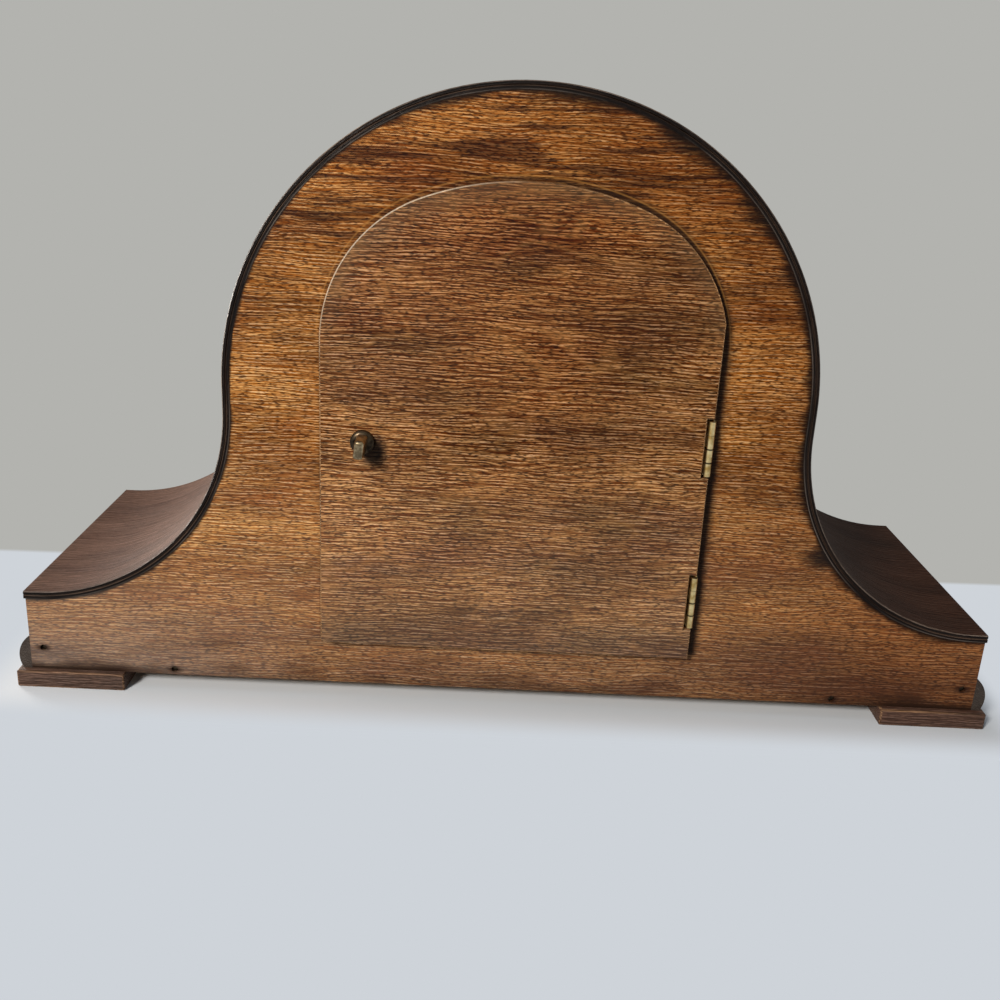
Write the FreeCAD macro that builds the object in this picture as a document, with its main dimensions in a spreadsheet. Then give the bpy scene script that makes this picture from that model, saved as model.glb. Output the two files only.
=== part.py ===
import FreeCAD, Part
import math
import os
import re

import Sketcher
from FreeCAD import Placement, Rotation, Vector

# Mantel clock with a domed case and sweeping shoulders. Millimetres, +Z up,
# the dial faces -Y and the rear door faces +Y. The origin lies on the table
# under the middle of the case.

SIZES = [
    ("case_width", 380.0, "front and back panel, end to end"),
    ("case_depth", 124.7, "front face to back face"),
    ("foot_height", 7.1, "pads under the case"),
    ("foot_inset", 37.5, "inner edge of a foot, in from the case end"),
    ("foot_proud", 5.3, "foot past the case end"),
    ("foot_reach", 3.0, "foot past the back face"),
    ("foot_front", 5.3, "foot past the front face"),
    ("dome_radius", 110.0, "outside of the skin"),
    ("tip_flat", 3.0, "level tip of a shoulder"),
    ("neck", 10.0, "upright stretch between dome and shoulder"),
    ("end_height", 40.5, "top of a shoulder tip above the table"),
    ("skin", 3.0, "bent plywood top"),
    ("skin_overhang", 0.8, "skin past the case ends"),
    ("back_thickness", 5.0, "back panel"),
    ("front_thickness", 9.0, "front panel"),
    ("end_thickness", 10.0, "end boards"),
    ("base_thickness", 8.0, "base board"),
    ("moulding_height", 14.2, "half round strip round the base"),
    ("moulding_foot", 3.4, "its thickness at the bottom"),
    ("moulding_round", 11.0, "its rounding"),
    ("nail_radius", 1.3, "panel nails"),
    ("nail_length", 17.0, "panel nails"),
    ("nail_sunk", 1.2, "nail heads below the panel face"),
    ("end_nail_inset", 5.2, "upper nails, in from the case end"),
    ("end_nail_height", 16.3, "upper nails above the table"),
    ("base_nail_offset", 132.8, "lower nails, from the middle"),
    ("base_nail_rise", 2.2, "lower nails above the panel's bottom edge"),
    ("door_bottom", 26.5, "door's lower edge above the table"),
    ("door_rise", 77.5, "door's top above the dome centre"),
    ("door_knob_edge", 73.3, "door edge on the knob side, from the middle"),
    ("door_hinge_edge", 71.7, "door edge on the hinge side, from the middle"),
    ("door_crown", 105.0, "radius of the arch's crown"),
    ("door_haunch", 55.0, "radius of the arch's sides"),
    ("door_thickness", 4.1, "door plywood"),
    ("door_gap", 0.4, "door off the back panel"),
    ("door_lap", 7.0, "door past the opening"),
    ("hinge_length", 21.0, "butt hinge"),
    ("hinge_upper", 113.0, "middle of the upper hinge above the table"),
    ("hinge_lower", 50.7, "middle of the lower hinge above the table"),
    ("hinge_inset", 0.7, "hinge axis in from the door edge"),
    ("hinge_stand", 3.6, "hinge axis off the back panel"),
    ("barrel_radius", 1.3, "hinge knuckles"),
    ("pin_radius", 0.65, "hinge pins"),
    ("leaf", 0.8, "hinge leaf thickness"),
    ("leaf_gap", 0.8, "between two closed leaves"),
    ("leaf_depth", 12.6, "hinge leaf, in from the axis"),
    ("knuckle_gap", 0.12, "between neighbouring knuckles"),
    ("leaf_clearance", 0.4, "leaf short of the other leaf's knuckles"),
    ("mortise_margin", 0.4, "hinge mortise past each hinge end"),
    ("notch_depth", 3.9, "hinge notch in the door edge"),
    ("notch_margin", 1.0, "notch past each hinge end"),
    ("batten_width", 12.0, "hinge batten and hinge blocks"),
    ("batten_depth", 8.0, "hinge batten behind the panel"),
    ("batten_margin", 12.0, "hinge batten past the hinges"),
    ("hinge_screw_radius", 0.9, "hinge screws"),
    ("hinge_screw_length", 8.0, "hinge screws"),
    ("hinge_screw_spread", 12.0, "between the screws of a leaf"),
    ("knob_offset", 57.4, "door knob from the middle"),
    ("knob_height", 109.8, "door knob above the table"),
    ("boss_radius", 4.2, "knob's round boss"),
    ("boss_height", 2.6, "knob's round boss"),
    ("grip_width", 3.6, "knob's thumb grip"),
    ("grip_length", 7.0, "knob's thumb grip"),
    ("grip_reach", 12.5, "thumb grip off the door"),
    ("grip_round", 1.08, "rounding of the grip's edges"),
    ("spindle_radius", 2.0, "knob spindle"),
    ("spindle_end", 0.4, "spindle past the catch tongue"),
    ("tongue_length", 16.0, "catch tongue from the spindle"),
    ("tongue_width", 7.0, "catch tongue"),
    ("tongue", 1.6, "catch tongue thickness"),
    ("tongue_gap", 0.4, "catch tongue off the panel"),
    ("dial_radius", 70.0, "dial plate"),
    ("dial", 0.8, "dial plate thickness"),
    ("dial_clearance", 0.5, "bezel's rebate round the dial"),
    ("aperture_radius", 56.0, "hole in the front panel behind the dial"),
    ("bezel_radius", 80.0, "bezel outside"),
    ("sight_radius", 66.0, "bezel's sight edge"),
    ("bezel_height", 9.3, "bezel off the front panel"),
    ("bezel_edge", 2.3, "bezel's upright rim"),
    ("bezel_crest", 6.0, "bezel's crest, in from its rim"),
    ("bezel_gap", 0.3, "bezel off the front panel"),
    ("bezel_lip", 1.4, "lip over the glass"),
    ("glass", 1.5, "glass thickness"),
    ("glass_rise", 7.0, "glass dome"),
    ("glass_seat", 4.0, "glass off the front panel"),
    ("glass_clearance", 0.1, "glass in its rebate"),
    ("glass_inset", 0.5, "glass dome in from the sight edge"),
    ("retainer", 1.5, "glass retainer thickness"),
    ("retainer_width", 3.0, "glass retainer in from the glass rim"),
    ("bezel_axis_offset", 3.0, "bezel hinge axis past the rim"),
    ("bezel_axis_stand", 2.65, "bezel hinge axis off the front panel"),
    ("bezel_knuckle", 1.8, "bezel hinge knuckle radius"),
    ("bezel_pin", 0.8, "bezel hinge pin radius"),
    ("bezel_lug_half", 3.0, "half the bezel's own knuckle"),
    ("bezel_plate_half", 9.0, "half the bezel hinge plate's height"),
    ("bezel_plate_width", 9.0, "bezel hinge plate past the axis"),
    ("bezel_plate", 1.0, "bezel hinge plate thickness"),
    ("plate", 2.0, "movement plates"),
    ("plate_gap", 30.0, "between the plates"),
    ("plate_half", 41.0, "half the plates' width"),
    ("plate_above", 58.0, "plates above the centre arbor"),
    ("plate_below", 77.0, "plates below the centre arbor"),
    ("pillar_radius", 3.0, "plate pillars"),
    ("tenon_radius", 1.5, "pillar ends"),
    ("pillar_inset", 11.0, "pillars in from the plate's sides"),
    ("pillar_top_inset", 8.0, "upper pillars below the plate's top"),
    ("pillar_foot_inset", 13.0, "lower pillars above the plate's foot"),
    ("nut_radius", 3.4, "pillar nuts across the corners, half"),
    ("nut", 2.4, "pillar nut thickness"),
    ("fixing_inset", 4.2, "fixing screws in from the plate's corners"),
    ("fixing_radius", 1.5, "fixing screw shank"),
    ("fixing_head", 2.8, "fixing screw head radius"),
    ("fixing_head_height", 1.8, "fixing screw head"),
    ("fixing_length", 9.0, "fixing screw shank"),
    ("running_fit", 0.05, "clearance of a turning shaft"),
    ("hour_hand_length", 40.0, "from the centre"),
    ("minute_hand_length", 58.0, "from the centre"),
    ("hour_hand_waist", 1.5, "hour hand's stem at the boss, half"),
    ("hour_hand_leaf", 3.6, "hour hand's leaf, half"),
    ("minute_hand_waist", 1.2, "minute hand's stem at the boss, half"),
    ("minute_hand_leaf", 2.6, "minute hand's leaf, half"),
    ("hand_boss", 2.0, "hand's boss past its pipe"),
    ("hand", 0.5, "hand thickness"),
    ("hand_nut", 1.5, "hand nut thickness"),
    ("hand_nut_lip", 0.6, "hand nut past the cannon pipe"),
    ("hour_hand_stand", 1.9, "hour hand off the front panel"),
    ("minute_hand_stand", 3.1, "minute hand off the front panel"),
    ("centre_post", 1.1, "centre arbor at the hands"),
    ("cannon_pipe", 1.9, "outside of the cannon pinion's pipe"),
    ("hour_pipe", 2.7, "outside of the hour wheel's pipe"),
    ("dial_hole", 3.2, "dial's centre hole"),
    ("winding_hole", 3.6, "dial's winding hole"),
    ("winding_square", 3.2, "winding square across its flats"),
    ("drum_radius", 24.0, "mainspring barrel outside"),
    ("drum_wall", 1.0, "mainspring barrel wall"),
    ("barrel_arbor", 3.0, "barrel arbor radius"),
    ("arbor", 1.5, "wheel arbors"),
    ("pivot", 0.8, "arbor pivots"),
    ("wheel", 1.4, "wheel thickness"),
    ("escape_radius", 11.0, "escape wheel over its tips"),
    ("anchor_rise", 15.5, "anchor arbor above the escape arbor"),
    ("pallet_clearance", 1.3, "pallets off the escape tips at rest"),
    ("pallet_band", 2.2, "anchor arm"),
    ("ratchet_radius", 10.0, "ratchet wheel over its tips"),
    ("great_module", 0.75, "great wheel's teeth"),
    ("second_module", 0.6, "intermediate wheel's teeth"),
    ("centre_module", 0.42, "centre wheel's teeth"),
    ("third_module", 0.38, "third wheel's teeth"),
    ("motion_module", 0.5, "minute wheel's teeth"),
    ("second_side", 13.93, "intermediate arbor to the side"),
    ("third_side", 8.0, "third arbor to the side"),
    ("great_level", 10.0, "great wheel from the back plate"),
    ("second_level", 6.0, "intermediate wheel from the back plate"),
    ("centre_level", 14.0, "centre wheel from the front plate"),
    ("third_level", 5.0, "third wheel from the front plate"),
    ("escape_level", 10.0, "escape wheel from the back plate"),
    ("pinion", 3.2, "length of the pinion leaves"),
    ("end_shake", 0.2, "arbor shoulders off the plates"),
    ("centre_arbor", 1.7, "centre arbor between the plates"),
    ("fine_arbor", 0.9, "third and escape arbors"),
    ("fine_pivot", 0.6, "third and escape pivots"),
    ("wheel_hub", 2.2, "wheel's hub past its bore"),
    ("wheel_rim", 1.8, "wheel's rim inside its teeth"),
    ("spoke_half", 0.9, "half a wheel spoke"),
    ("escape_tooth", 2.0, "escape tooth depth"),
    ("motion_gap", 0.6, "motion work off the front plate"),
    ("cannon_leaves", 2.4, "length of the cannon pinion's leaves"),
    ("minute_leaves", 4.0, "length of the minute wheel's pinion"),
    ("stud_radius", 1.2, "minute wheel stud and click stud"),
    ("stud_end", 0.4, "stud past the piece that it carries"),
    ("great_wheel", 2.0, "great wheel thickness"),
    ("drum_foot", 3.0, "mainspring barrel off the front plate"),
    ("drum_cover", 1.2, "barrel cover"),
    ("barrel_pivot", 2.2, "barrel arbor in the plates"),
    ("spring_hub", 5.0, "barrel arbor inside the mainspring"),
    ("spring_strip", 0.45, "mainspring strip"),
    ("spring_pitch", 1.5, "between two turns of the mainspring"),
    ("spring_clearance", 0.5, "mainspring off the hub and the barrel wall"),
    ("spring_gap", 0.3, "mainspring off the barrel's ends"),
    ("ratchet", 2.0, "ratchet wheel and click thickness"),
    ("ratchet_gap", 0.4, "ratchet wheel off the back plate"),
    ("ratchet_tooth", 1.6, "ratchet tooth depth"),
    ("ratchet_end", 1.0, "barrel arbor past the ratchet wheel"),
    ("click_side", 16.0, "click stud from the barrel arbor, sideways"),
    ("click_drop", 5.8, "click stud below the barrel arbor"),
    ("click_boss", 2.6, "click's round end"),
    ("click_arm", 2.0, "click's arm, half"),
    ("click_nose", 0.55, "click's nose, half"),
    ("click_clearance", 0.4, "click's nose off the ratchet tips"),
    ("anchor_arbor", 1.2, "anchor arbor"),
    ("anchor_hub", 3.0, "anchor's hub"),
    ("crutch", 1.2, "crutch strip, each way"),
    ("crutch_gap", 2.0, "crutch off the back plate"),
    ("crutch_drop", 30.0, "crutch fork below the anchor arbor"),
    ("crutch_hub", 2.6, "crutch's hub"),
    ("fork_height", 2.0, "crutch fork"),
    ("fork_clearance", 0.3, "crutch fork off the pendulum rod"),
    ("fork_reach", 3.0, "crutch fork past the pendulum rod"),
    ("cock", 2.0, "suspension cock's foot thickness"),
    ("cock_half", 9.0, "half the suspension cock's foot"),
    ("cock_rise", 4.0, "suspension cock's arm above the anchor arbor"),
    ("cock_arm", 4.0, "suspension cock's arm height"),
    ("cock_arm_half", 3.0, "half the suspension cock's arm"),
    ("lug", 3.0, "suspension lugs"),
    ("chop_half", 2.0, "half the suspension chops' length"),
    ("chop_height", 4.4, "suspension chops"),
    ("chop_clearance", 0.3, "chops off the lugs"),
    ("chop_width", 1.6, "suspension chops and rod hook, half"),
    ("suspension_pin", 1.0, "suspension pin"),
    ("suspension_strip", 0.4, "suspension spring strip"),
    ("suspension_drop", 10.0, "suspension spring below its pin"),
    ("hook_height", 4.0, "pendulum rod's hook"),
    ("rod_end", 6.0, "pendulum rod past the rating nut"),
    ("rating_gap", 0.3, "rating nut below the bob"),
    ("pendulum_stand", 13.0, "pendulum plane behind the back plate"),
    ("pendulum_length", 105.0, "suspension to the bob's middle"),
    ("rod_radius", 1.2, "pendulum rod"),
    ("bob_radius", 15.0, "pendulum bob"),
    ("bob_half", 4.5, "half the bob's thickness"),
    ("bob_rim", 0.8, "half the bob's edge"),
    ("rating_radius", 4.5, "rating nut"),
    ("rating_height", 3.0, "rating nut"),
]

doc = FreeCAD.newDocument("mantel_clock")
sheet = doc.addObject("Spreadsheet::Sheet", "sizes")
for row, (alias, value, meaning) in enumerate(SIZES, 1):
    sheet.set(f"A{row}", alias)
    sheet.set(f"B{row}", str(value))
    sheet.set(f"C{row}", meaning)
    sheet.setAlias(f"B{row}", alias)
doc.recompute()
NAMES = {alias for alias, value, meaning in SIZES}
PARTS = []

# Places that several pieces share, as formulas of the sizes above.
HALF = "(case_width / 2)"
BACK = "(case_depth / 2)"
FRONT = "(-case_depth / 2)"
SWEEP = "(case_width / 2 - tip_flat - dome_radius)"
SWEEP_CENTRE = "(case_width / 2 - tip_flat)"
SWEEP_TOP = f"(end_height + {SWEEP})"
DOME = f"(end_height + {SWEEP} + neck)"
PANEL_TOP = "(end_height - skin)"
BACK_INSIDE = f"({BACK} - back_thickness)"
FRONT_INSIDE = f"({FRONT} + front_thickness)"
DOOR_INSIDE = f"({BACK} + door_gap)"
DOOR_OUTSIDE = f"({BACK} + door_gap + door_thickness)"
HINGE_X = "(-door_hinge_edge + hinge_inset)"
HINGE_Y = f"({BACK} + hinge_stand)"
BEZEL_X = "(bezel_radius + bezel_axis_offset)"
BEZEL_Y = f"({FRONT} - bezel_axis_stand)"
PLATE_BACK = f"({FRONT_INSIDE} + plate)"
REAR_PLATE = f"({PLATE_BACK} + plate_gap)"
REAR_FACE = f"({REAR_PLATE} + plate)"
PENDULUM_Y = f"({REAR_FACE} + pendulum_stand)"


def bound(formula):
    """The formula with each size's name tied to its cell."""
    return re.sub(r"[a-z_]+", lambda word: "sizes." + word[0] if word[0] in NAMES else word[0], formula)


def number(formula):
    """What a formula comes to at the present sizes."""
    return float(formula) if not isinstance(formula, str) else float(sheet.evalExpression(bound(formula)))


def tie(thing, prop, formula):
    """Ties one property of an object to a formula, or sets a plain number."""
    if isinstance(formula, str):
        thing.setExpression(prop, bound(formula))
        return
    if prop.startswith("Placement.Base."):
        base = Vector(thing.Placement.Base)
        setattr(base, prop[-1], formula)
        thing.Placement = Placement(base, thing.Placement.Rotation)
        return
    setattr(thing, prop, formula)


def put(thing, place):
    for axis, formula in zip("xyz", place):
        tie(thing, "Placement.Base." + axis, formula)
    return thing


def keep(thing, label):
    """Marks an object as a finished piece, under the name of its file."""
    thing.Label = label
    PARTS.append(thing)
    return thing


def box(name, low, size):
    thing = doc.addObject("Part::Box", name)
    for prop, formula in zip(("Length", "Width", "Height"), size):
        tie(thing, prop, formula)
    return put(thing, low)


def between(name, low, high):
    """A box given by two opposite corners."""
    return box(name, low, [f"({b}) - ({a})" for a, b in zip(low, high)])


TURNED = {
    "X": Rotation(Vector(0, 1, 0), 90),
    "Y": Rotation(Vector(1, 0, 0), -90),
    "Z": Rotation(),
}


def rod(name, axis, radius, length, place):
    thing = doc.addObject("Part::Cylinder", name)
    thing.Placement = Placement(Vector(), TURNED[axis])
    tie(thing, "Radius", radius)
    tie(thing, "Height", length)
    return put(thing, place)


def fuse(name, things):
    if len(things) == 1:
        return things[0]
    whole = doc.addObject("Part::MultiFuse", name)
    whole.Shapes = things
    whole.Refine = True
    return whole


def cut(name, base, tools):
    whole = doc.addObject("Part::Cut", name)
    whole.Base = base
    whole.Tool = fuse(name + "_cutters", tools)
    return whole


def group(name, things):
    whole = doc.addObject("Part::Compound", name)
    whole.Links = things
    return whole


def outline(sketch, corners):
    """Closes an outline. A corner is (x, y) before a line or (x, y, radius, side) before an arc."""
    points = [Vector(number(corner[0]), number(corner[1]), 0) for corner in corners]
    first = sketch.GeometryCount
    starts = []
    for index, corner in enumerate(corners):
        here = points[index]
        there = points[(index + 1) % len(points)]
        if len(corner) == 2:
            sketch.addGeometry(Part.LineSegment(here, there))
            starts.append(1)
            continue
        radius = number(corner[2])
        half = (there - here) * 0.5
        across = Vector(-half.y, half.x, 0).normalize()
        centre = here + half + across * (corner[3] * math.sqrt(max(radius ** 2 - half.Length ** 2, 0)))
        angles = [math.atan2(p.y - centre.y, p.x - centre.x) for p in (here, there)]
        if corner[3] < 0:
            angles.reverse()
        sketch.addGeometry(Part.ArcOfCircle(Part.Circle(centre, Vector(0, 0, 1), radius), *angles))
        starts.append(1 if corner[3] > 0 else 2)
    for index, corner in enumerate(corners):
        after = (index + 1) % len(corners)
        sketch.addConstraint(Sketcher.Constraint(
            "Coincident", first + index, 3 - starts[index], first + after, starts[after]))
        for kind, axis, formula in (("DistanceX", -2, corner[0]), ("DistanceY", -1, corner[1])):
            if formula == "0":
                sketch.addConstraint(Sketcher.Constraint(
                    "PointOnObject", first + index, starts[index], axis))
                continue
            made = sketch.addConstraint(Sketcher.Constraint(
                kind, -1, 1, first + index, starts[index], number(formula)))
            sketch.setExpression(f"Constraints[{made}]", bound(formula))
        if len(corner) > 2:
            made = sketch.addConstraint(Sketcher.Constraint("Radius", first + index, number(corner[2])))
            sketch.setExpression(f"Constraints[{made}]", bound(corner[2]))


def circle(sketch, radius, x, y):
    made = sketch.addGeometry(Part.Circle(Vector(number(x), number(y), 0), Vector(0, 0, 1), number(radius)))
    size = sketch.addConstraint(Sketcher.Constraint("Radius", made, number(radius)))
    sketch.setExpression(f"Constraints[{size}]", bound(radius))
    for kind, axis, formula in (("DistanceX", -2, x), ("DistanceY", -1, y)):
        if formula == "0":
            sketch.addConstraint(Sketcher.Constraint("PointOnObject", made, 3, axis))
            continue
        tied = sketch.addConstraint(Sketcher.Constraint(kind, -1, 1, made, 3, number(formula)))
        sketch.setExpression(f"Constraints[{tied}]", bound(formula))


def sketch_in(name, plane):
    body = doc.addObject("PartDesign::Body", name)
    sketch = body.newObject("Sketcher::SketchObject", name + "_outline")
    support = [item for item in body.Origin.OriginFeatures if item.Role == plane]
    sketch.AttachmentSupport = [(support[0], "")]
    sketch.MapMode = "FlatFace"
    return body, sketch


def slab(name, rings, thickness, back_face, circles=()):
    """A board cut to an outline in X and Z, reaching forward from its back face."""
    body, sketch = sketch_in(name, "XZ_Plane")
    for corners in rings:
        outline(sketch, corners)
    for ring in circles:
        circle(sketch, *ring)
    pad = body.newObject("PartDesign::Pad", name + "_pad")
    pad.Profile = sketch
    tie(pad, "Length", thickness)
    tie(body, "Placement.Base.y", back_face)
    return body


def turned(name, corners, place):
    """A piece turned about Y, from an outline of radius and length along Y."""
    body, sketch = sketch_in(name, "XY_Plane")
    outline(sketch, corners)
    spun = body.newObject("PartDesign::Revolution", name + "_turned")
    spun.Profile = sketch
    spun.ReferenceAxis = (sketch, ["V_Axis"])
    spun.Angle = 360.0
    return put(body, place)


def solid(name, shape, x=0.0, y=0.0, z=0.0):
    """A piece whose shape is worked out below, set at its place."""
    thing = doc.addObject("Part::Feature", name)
    thing.Shape = shape
    thing.Placement = Placement(Vector(x, y, z), Rotation())
    return thing


# The case: two panels cut to the hat outline, a bent skin over them, and boards below.
def hat(inset, half_width, low):
    """The hat outline, drawn inside the skin's outer face by the inset, from its low right corner."""
    dome = f"(dome_radius - {inset})"
    sweep = f"({SWEEP} + {inset})"
    tip = f"(end_height - {inset})"
    right = [
        (half_width, low),
        (half_width, tip),
        (SWEEP_CENTRE, tip, sweep, -1),
        (dome, SWEEP_TOP),
        (dome, DOME, dome, 1),
        ("0", f"{DOME} + {dome}", dome, 1),
    ]
    left = [
        ("-" + dome, DOME),
        ("-" + dome, SWEEP_TOP, sweep, -1),
        ("-" + SWEEP_CENTRE, tip),
        ("-" + half_width, tip),
        ("-" + half_width, low),
    ]
    return right + left


def skin_band():
    """The skin's own edge: the hat outline and the same outline one thickness in."""
    over = f"({HALF} + skin_overhang)"
    outer = hat("0", over, PANEL_TOP)[1:-1]
    inner = hat("skin", over, PANEL_TOP)[1:-1]
    back = [corner[:2] for corner in reversed(inner)]
    turns = list(reversed([corner[2:] for corner in inner[:-1]])) + [()]
    returned = []
    for corner, turn in zip(back, turns):
        returned.append(corner + (turn[0], -turn[1]) if turn else corner)
    return outer + returned


NAIL_ROWS = [
    (f"({HALF} - end_nail_inset)", "end_nail_height"),
    ("base_nail_offset", "(foot_height + base_nail_rise)"),
]
NAILS = [(side, offset, height) for offset, height in NAIL_ROWS for side in ("1", "-1")]


def arch(inset, hinge_edge):
    """The door's arched outline, drawn in by the inset, with its own edge on the hinge side."""
    crown = f"(door_crown - {inset})"
    haunch = f"(door_haunch - {inset})"
    reach = "(door_knob_edge - door_haunch)"
    low = f"(door_bottom + {inset})"
    heart = f"({DOME} + door_rise - door_crown)"
    climb = f"sqrt((door_crown - door_haunch) ^ 2 - {reach} ^ 2)"
    spring = f"({heart} + {climb})"
    join_x = f"({crown} * {reach} / (door_crown - door_haunch))"
    join_z = f"({heart} + {crown} * {climb} / (door_crown - door_haunch))"
    shoulder = f"({spring} + sqrt({haunch} ^ 2 - ({hinge_edge} - {reach}) ^ 2))"
    return [
        (f"-{hinge_edge}", low),
        (f"(door_knob_edge - {inset})", low),
        (f"(door_knob_edge - {inset})", spring, haunch, 1),
        (join_x, join_z, crown, 1),
        (f"-{join_x}", join_z, haunch, 1),
        (f"-{hinge_edge}", shoulder),
    ]


def hinge_levels():
    return [("upper", "hinge_upper"), ("lower", "hinge_lower")]


LEAF_CASE = f"({HINGE_X} - leaf_gap / 2)"
LEAF_DOOR = f"({HINGE_X} + leaf_gap / 2)"
HINGE_EDGE_CASE = f"({LEAF_CASE} - leaf)"
HINGE_EDGE_DOOR = f"({LEAF_DOOR} + leaf)"
LEAF_END = f"({HINGE_Y} - leaf_depth)"


def nail(name, index, top):
    side, offset, height = NAILS[index]
    return rod(name, "Y", "nail_radius", f"nail_length - ({BACK} - ({top}))",
               (f"{side} * {offset}", f"{BACK} - nail_length", height))


def make_back_panel():
    rings = [hat("skin", HALF, "foot_height"), arch("door_lap", "(door_hinge_edge - door_lap)")]
    body = slab("back_board", rings, "back_thickness", BACK)
    tools = [nail(f"nail_bore_{index}", index, BACK) for index in range(len(NAILS))]
    for word, level in hinge_levels():
        tools.append(between(
            f"{word}_mortise",
            (HINGE_EDGE_CASE, BACK_INSIDE, f"{level} - hinge_length / 2 - mortise_margin"),
            ("-(door_hinge_edge - 2 * door_lap)", BACK, f"{level} + hinge_length / 2 + mortise_margin")))
    keep(cut("back_panel", body, tools), "back_panel")


def make_boards():
    bores = [nail(f"board_bore_{index}", index, BACK) for index in range(len(NAILS))]
    for side, word, bore in (("1", "right", bores[0]), ("-1", "left", bores[1])):
        board = between(
            f"{word}_board",
            (f"{side} * ({HALF} - end_thickness / 2) - end_thickness / 2", FRONT_INSIDE, "foot_height"),
            (f"{side} * ({HALF} - end_thickness / 2) + end_thickness / 2", BACK_INSIDE, PANEL_TOP))
        keep(cut(f"{word}_end_board", board, [bore]), f"{word}_end_board")
        foot = between(
            f"{word}_foot",
            (f"{side} * ({HALF} + (foot_proud - foot_inset) / 2) - (foot_inset + foot_proud) / 2",
             f"{FRONT} - foot_front", 0.0),
            (f"{side} * ({HALF} + (foot_proud - foot_inset) / 2) + (foot_inset + foot_proud) / 2",
             f"{BACK} + foot_reach", "foot_height"))
        keep(foot, f"{word}_foot")
    base = between("base", (f"-({HALF} - end_thickness)", FRONT_INSIDE, "foot_height"),
                   (f"{HALF} - end_thickness", BACK_INSIDE, "foot_height + base_thickness"))
    keep(cut("base_board", base, bores[2:]), "base_board")
    nails = [nail(f"nail_{index}", index, f"{BACK} - nail_sunk") for index in range(len(NAILS))]
    keep(group("panel_nails", nails), "panel_nails")


def mitre(name, side, keeps_front):
    """A block on one side of the 45 degree joint at a front corner of the case."""
    span = number("case_depth")
    along = Rotation(Vector(0, 0, 1), -45 if side > 0 else -135)
    block = doc.addObject("Part::Box", name)
    block.Length = block.Width = block.Height = span
    on_front = (side < 0) != keeps_front
    start = along.multVec(Vector(-span / 2, 0 if on_front else -span, 0))
    corner = Vector(side * number(HALF), number(FRONT), 0)
    block.Placement = Placement(corner + start, along)
    return block


def make_mouldings():
    for side, word in ((1, "right"), (-1, "left")):
        sign = str(side)
        corners = [
            (f"{sign} * {HALF}", "foot_height"),
            (f"{sign} * ({HALF} + moulding_foot)", "foot_height", "moulding_round", side),
            (f"{sign} * {HALF}", "foot_height + moulding_height"),
        ]
        strip = slab(f"{word}_strip", [corners], "case_depth + moulding_round", BACK)
        mitred = cut(f"{word}_end_moulding", strip, [mitre(f"{word}_end_mitre", side, False)])
        keep(mitred, f"{word}_end_moulding")
    body, sketch = sketch_in("front_strip", "YZ_Plane")
    outline(sketch, [
        (FRONT, "foot_height"),
        (f"{FRONT} - moulding_foot", "foot_height", "moulding_round", -1),
        (FRONT, "foot_height + moulding_height"),
    ])
    pad = body.newObject("PartDesign::Pad", "front_strip_pad")
    pad.Profile = sketch
    tie(pad, "Length", "case_width + 2 * moulding_round")
    pad.Midplane = True
    mitres = [mitre(f"front_mitre_{word}", side, True) for side, word in ((1, "right"), (-1, "left"))]
    keep(cut("front_moulding", body, mitres), "front_moulding")


def fixing_places():
    """The four fixing screws at the plates' corners, from the middle of the dial."""
    wide = number("plate_half - fixing_inset")
    levels = (number("plate_above - fixing_inset"), -number("plate_below - fixing_inset"))
    return [(side * wide, number(DOME) + level) for level in levels for side in (1, -1)]


def fixing(name, place, length, radius):
    return rod(name, "Y", radius, length, (place[0], f"{PLATE_BACK} - ({length})", place[1]))


def make_front_panel():
    body = slab("front_board", [hat("skin", HALF, "foot_height")], "front_thickness", FRONT_INSIDE,
                [("aperture_radius", "0", DOME)])
    bores = [fixing(f"panel_bore_{index}", place, "fixing_length", "fixing_radius")
             for index, place in enumerate(fixing_places())]
    keep(cut("front_panel", body, bores), "front_panel")


def make_case():
    keep(slab("top_skin", [skin_band()], "case_depth", BACK), "top_skin")
    make_back_panel()
    make_front_panel()
    make_boards()
    make_mouldings()


# The rear door on its two butt hinges, and its turn catch.
def hinge_screw(name, side, level, step):
    reach = "hinge_screw_length"
    start = LEAF_DOOR if side > 0 else f"{LEAF_CASE} - {reach}"
    return rod(name, "X", "hinge_screw_radius", reach,
               (start, f"({LEAF_END} + {BACK_INSIDE}) / 2", f"{level} + {step} * hinge_screw_spread / 2"))


def hinge_screws(word, side):
    return [hinge_screw(f"{word}_{name}_{step + 1}", side, level, step)
            for name, level in hinge_levels() for step in (-1, 1)]


def leaf(name, level, side):
    """One hinge leaf with two of the four knuckles."""
    near = LEAF_DOOR if side > 0 else HINGE_EDGE_CASE
    length = "((hinge_length - 3 * knuckle_gap) / 4)"
    clear = f"({HINGE_Y} - barrel_radius - leaf_clearance)"
    parts = [box(f"{name}_flat", (near, LEAF_END, f"{level} - hinge_length / 2"),
                 ("leaf", f"{clear} - {LEAF_END}", "hinge_length"))]
    bores = []
    for step in (0, 2):
        index = step + (1 if side > 0 else 0)
        low = f"({level} - hinge_length / 2 + {index} * ({length} + knuckle_gap))"
        parts.append(box(f"{name}_tab_{step}", (near, clear, low),
                         ("leaf", f"{HINGE_Y} - {clear}", length)))
        parts.append(rod(f"{name}_knuckle_{step}", "Z", "barrel_radius", length, (HINGE_X, HINGE_Y, low)))
        fit = "pin_radius + running_fit" if side > 0 else "pin_radius"
        bores.append(rod(f"{name}_bore_{step}", "Z", fit, length, (HINGE_X, HINGE_Y, low)))
    bores += [hinge_screw(f"{name}_hole_{step + 1}", side, level, step) for step in (-1, 1)]
    return cut(f"{name}_leaf", fuse(f"{name}_blank", parts), bores)


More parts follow.
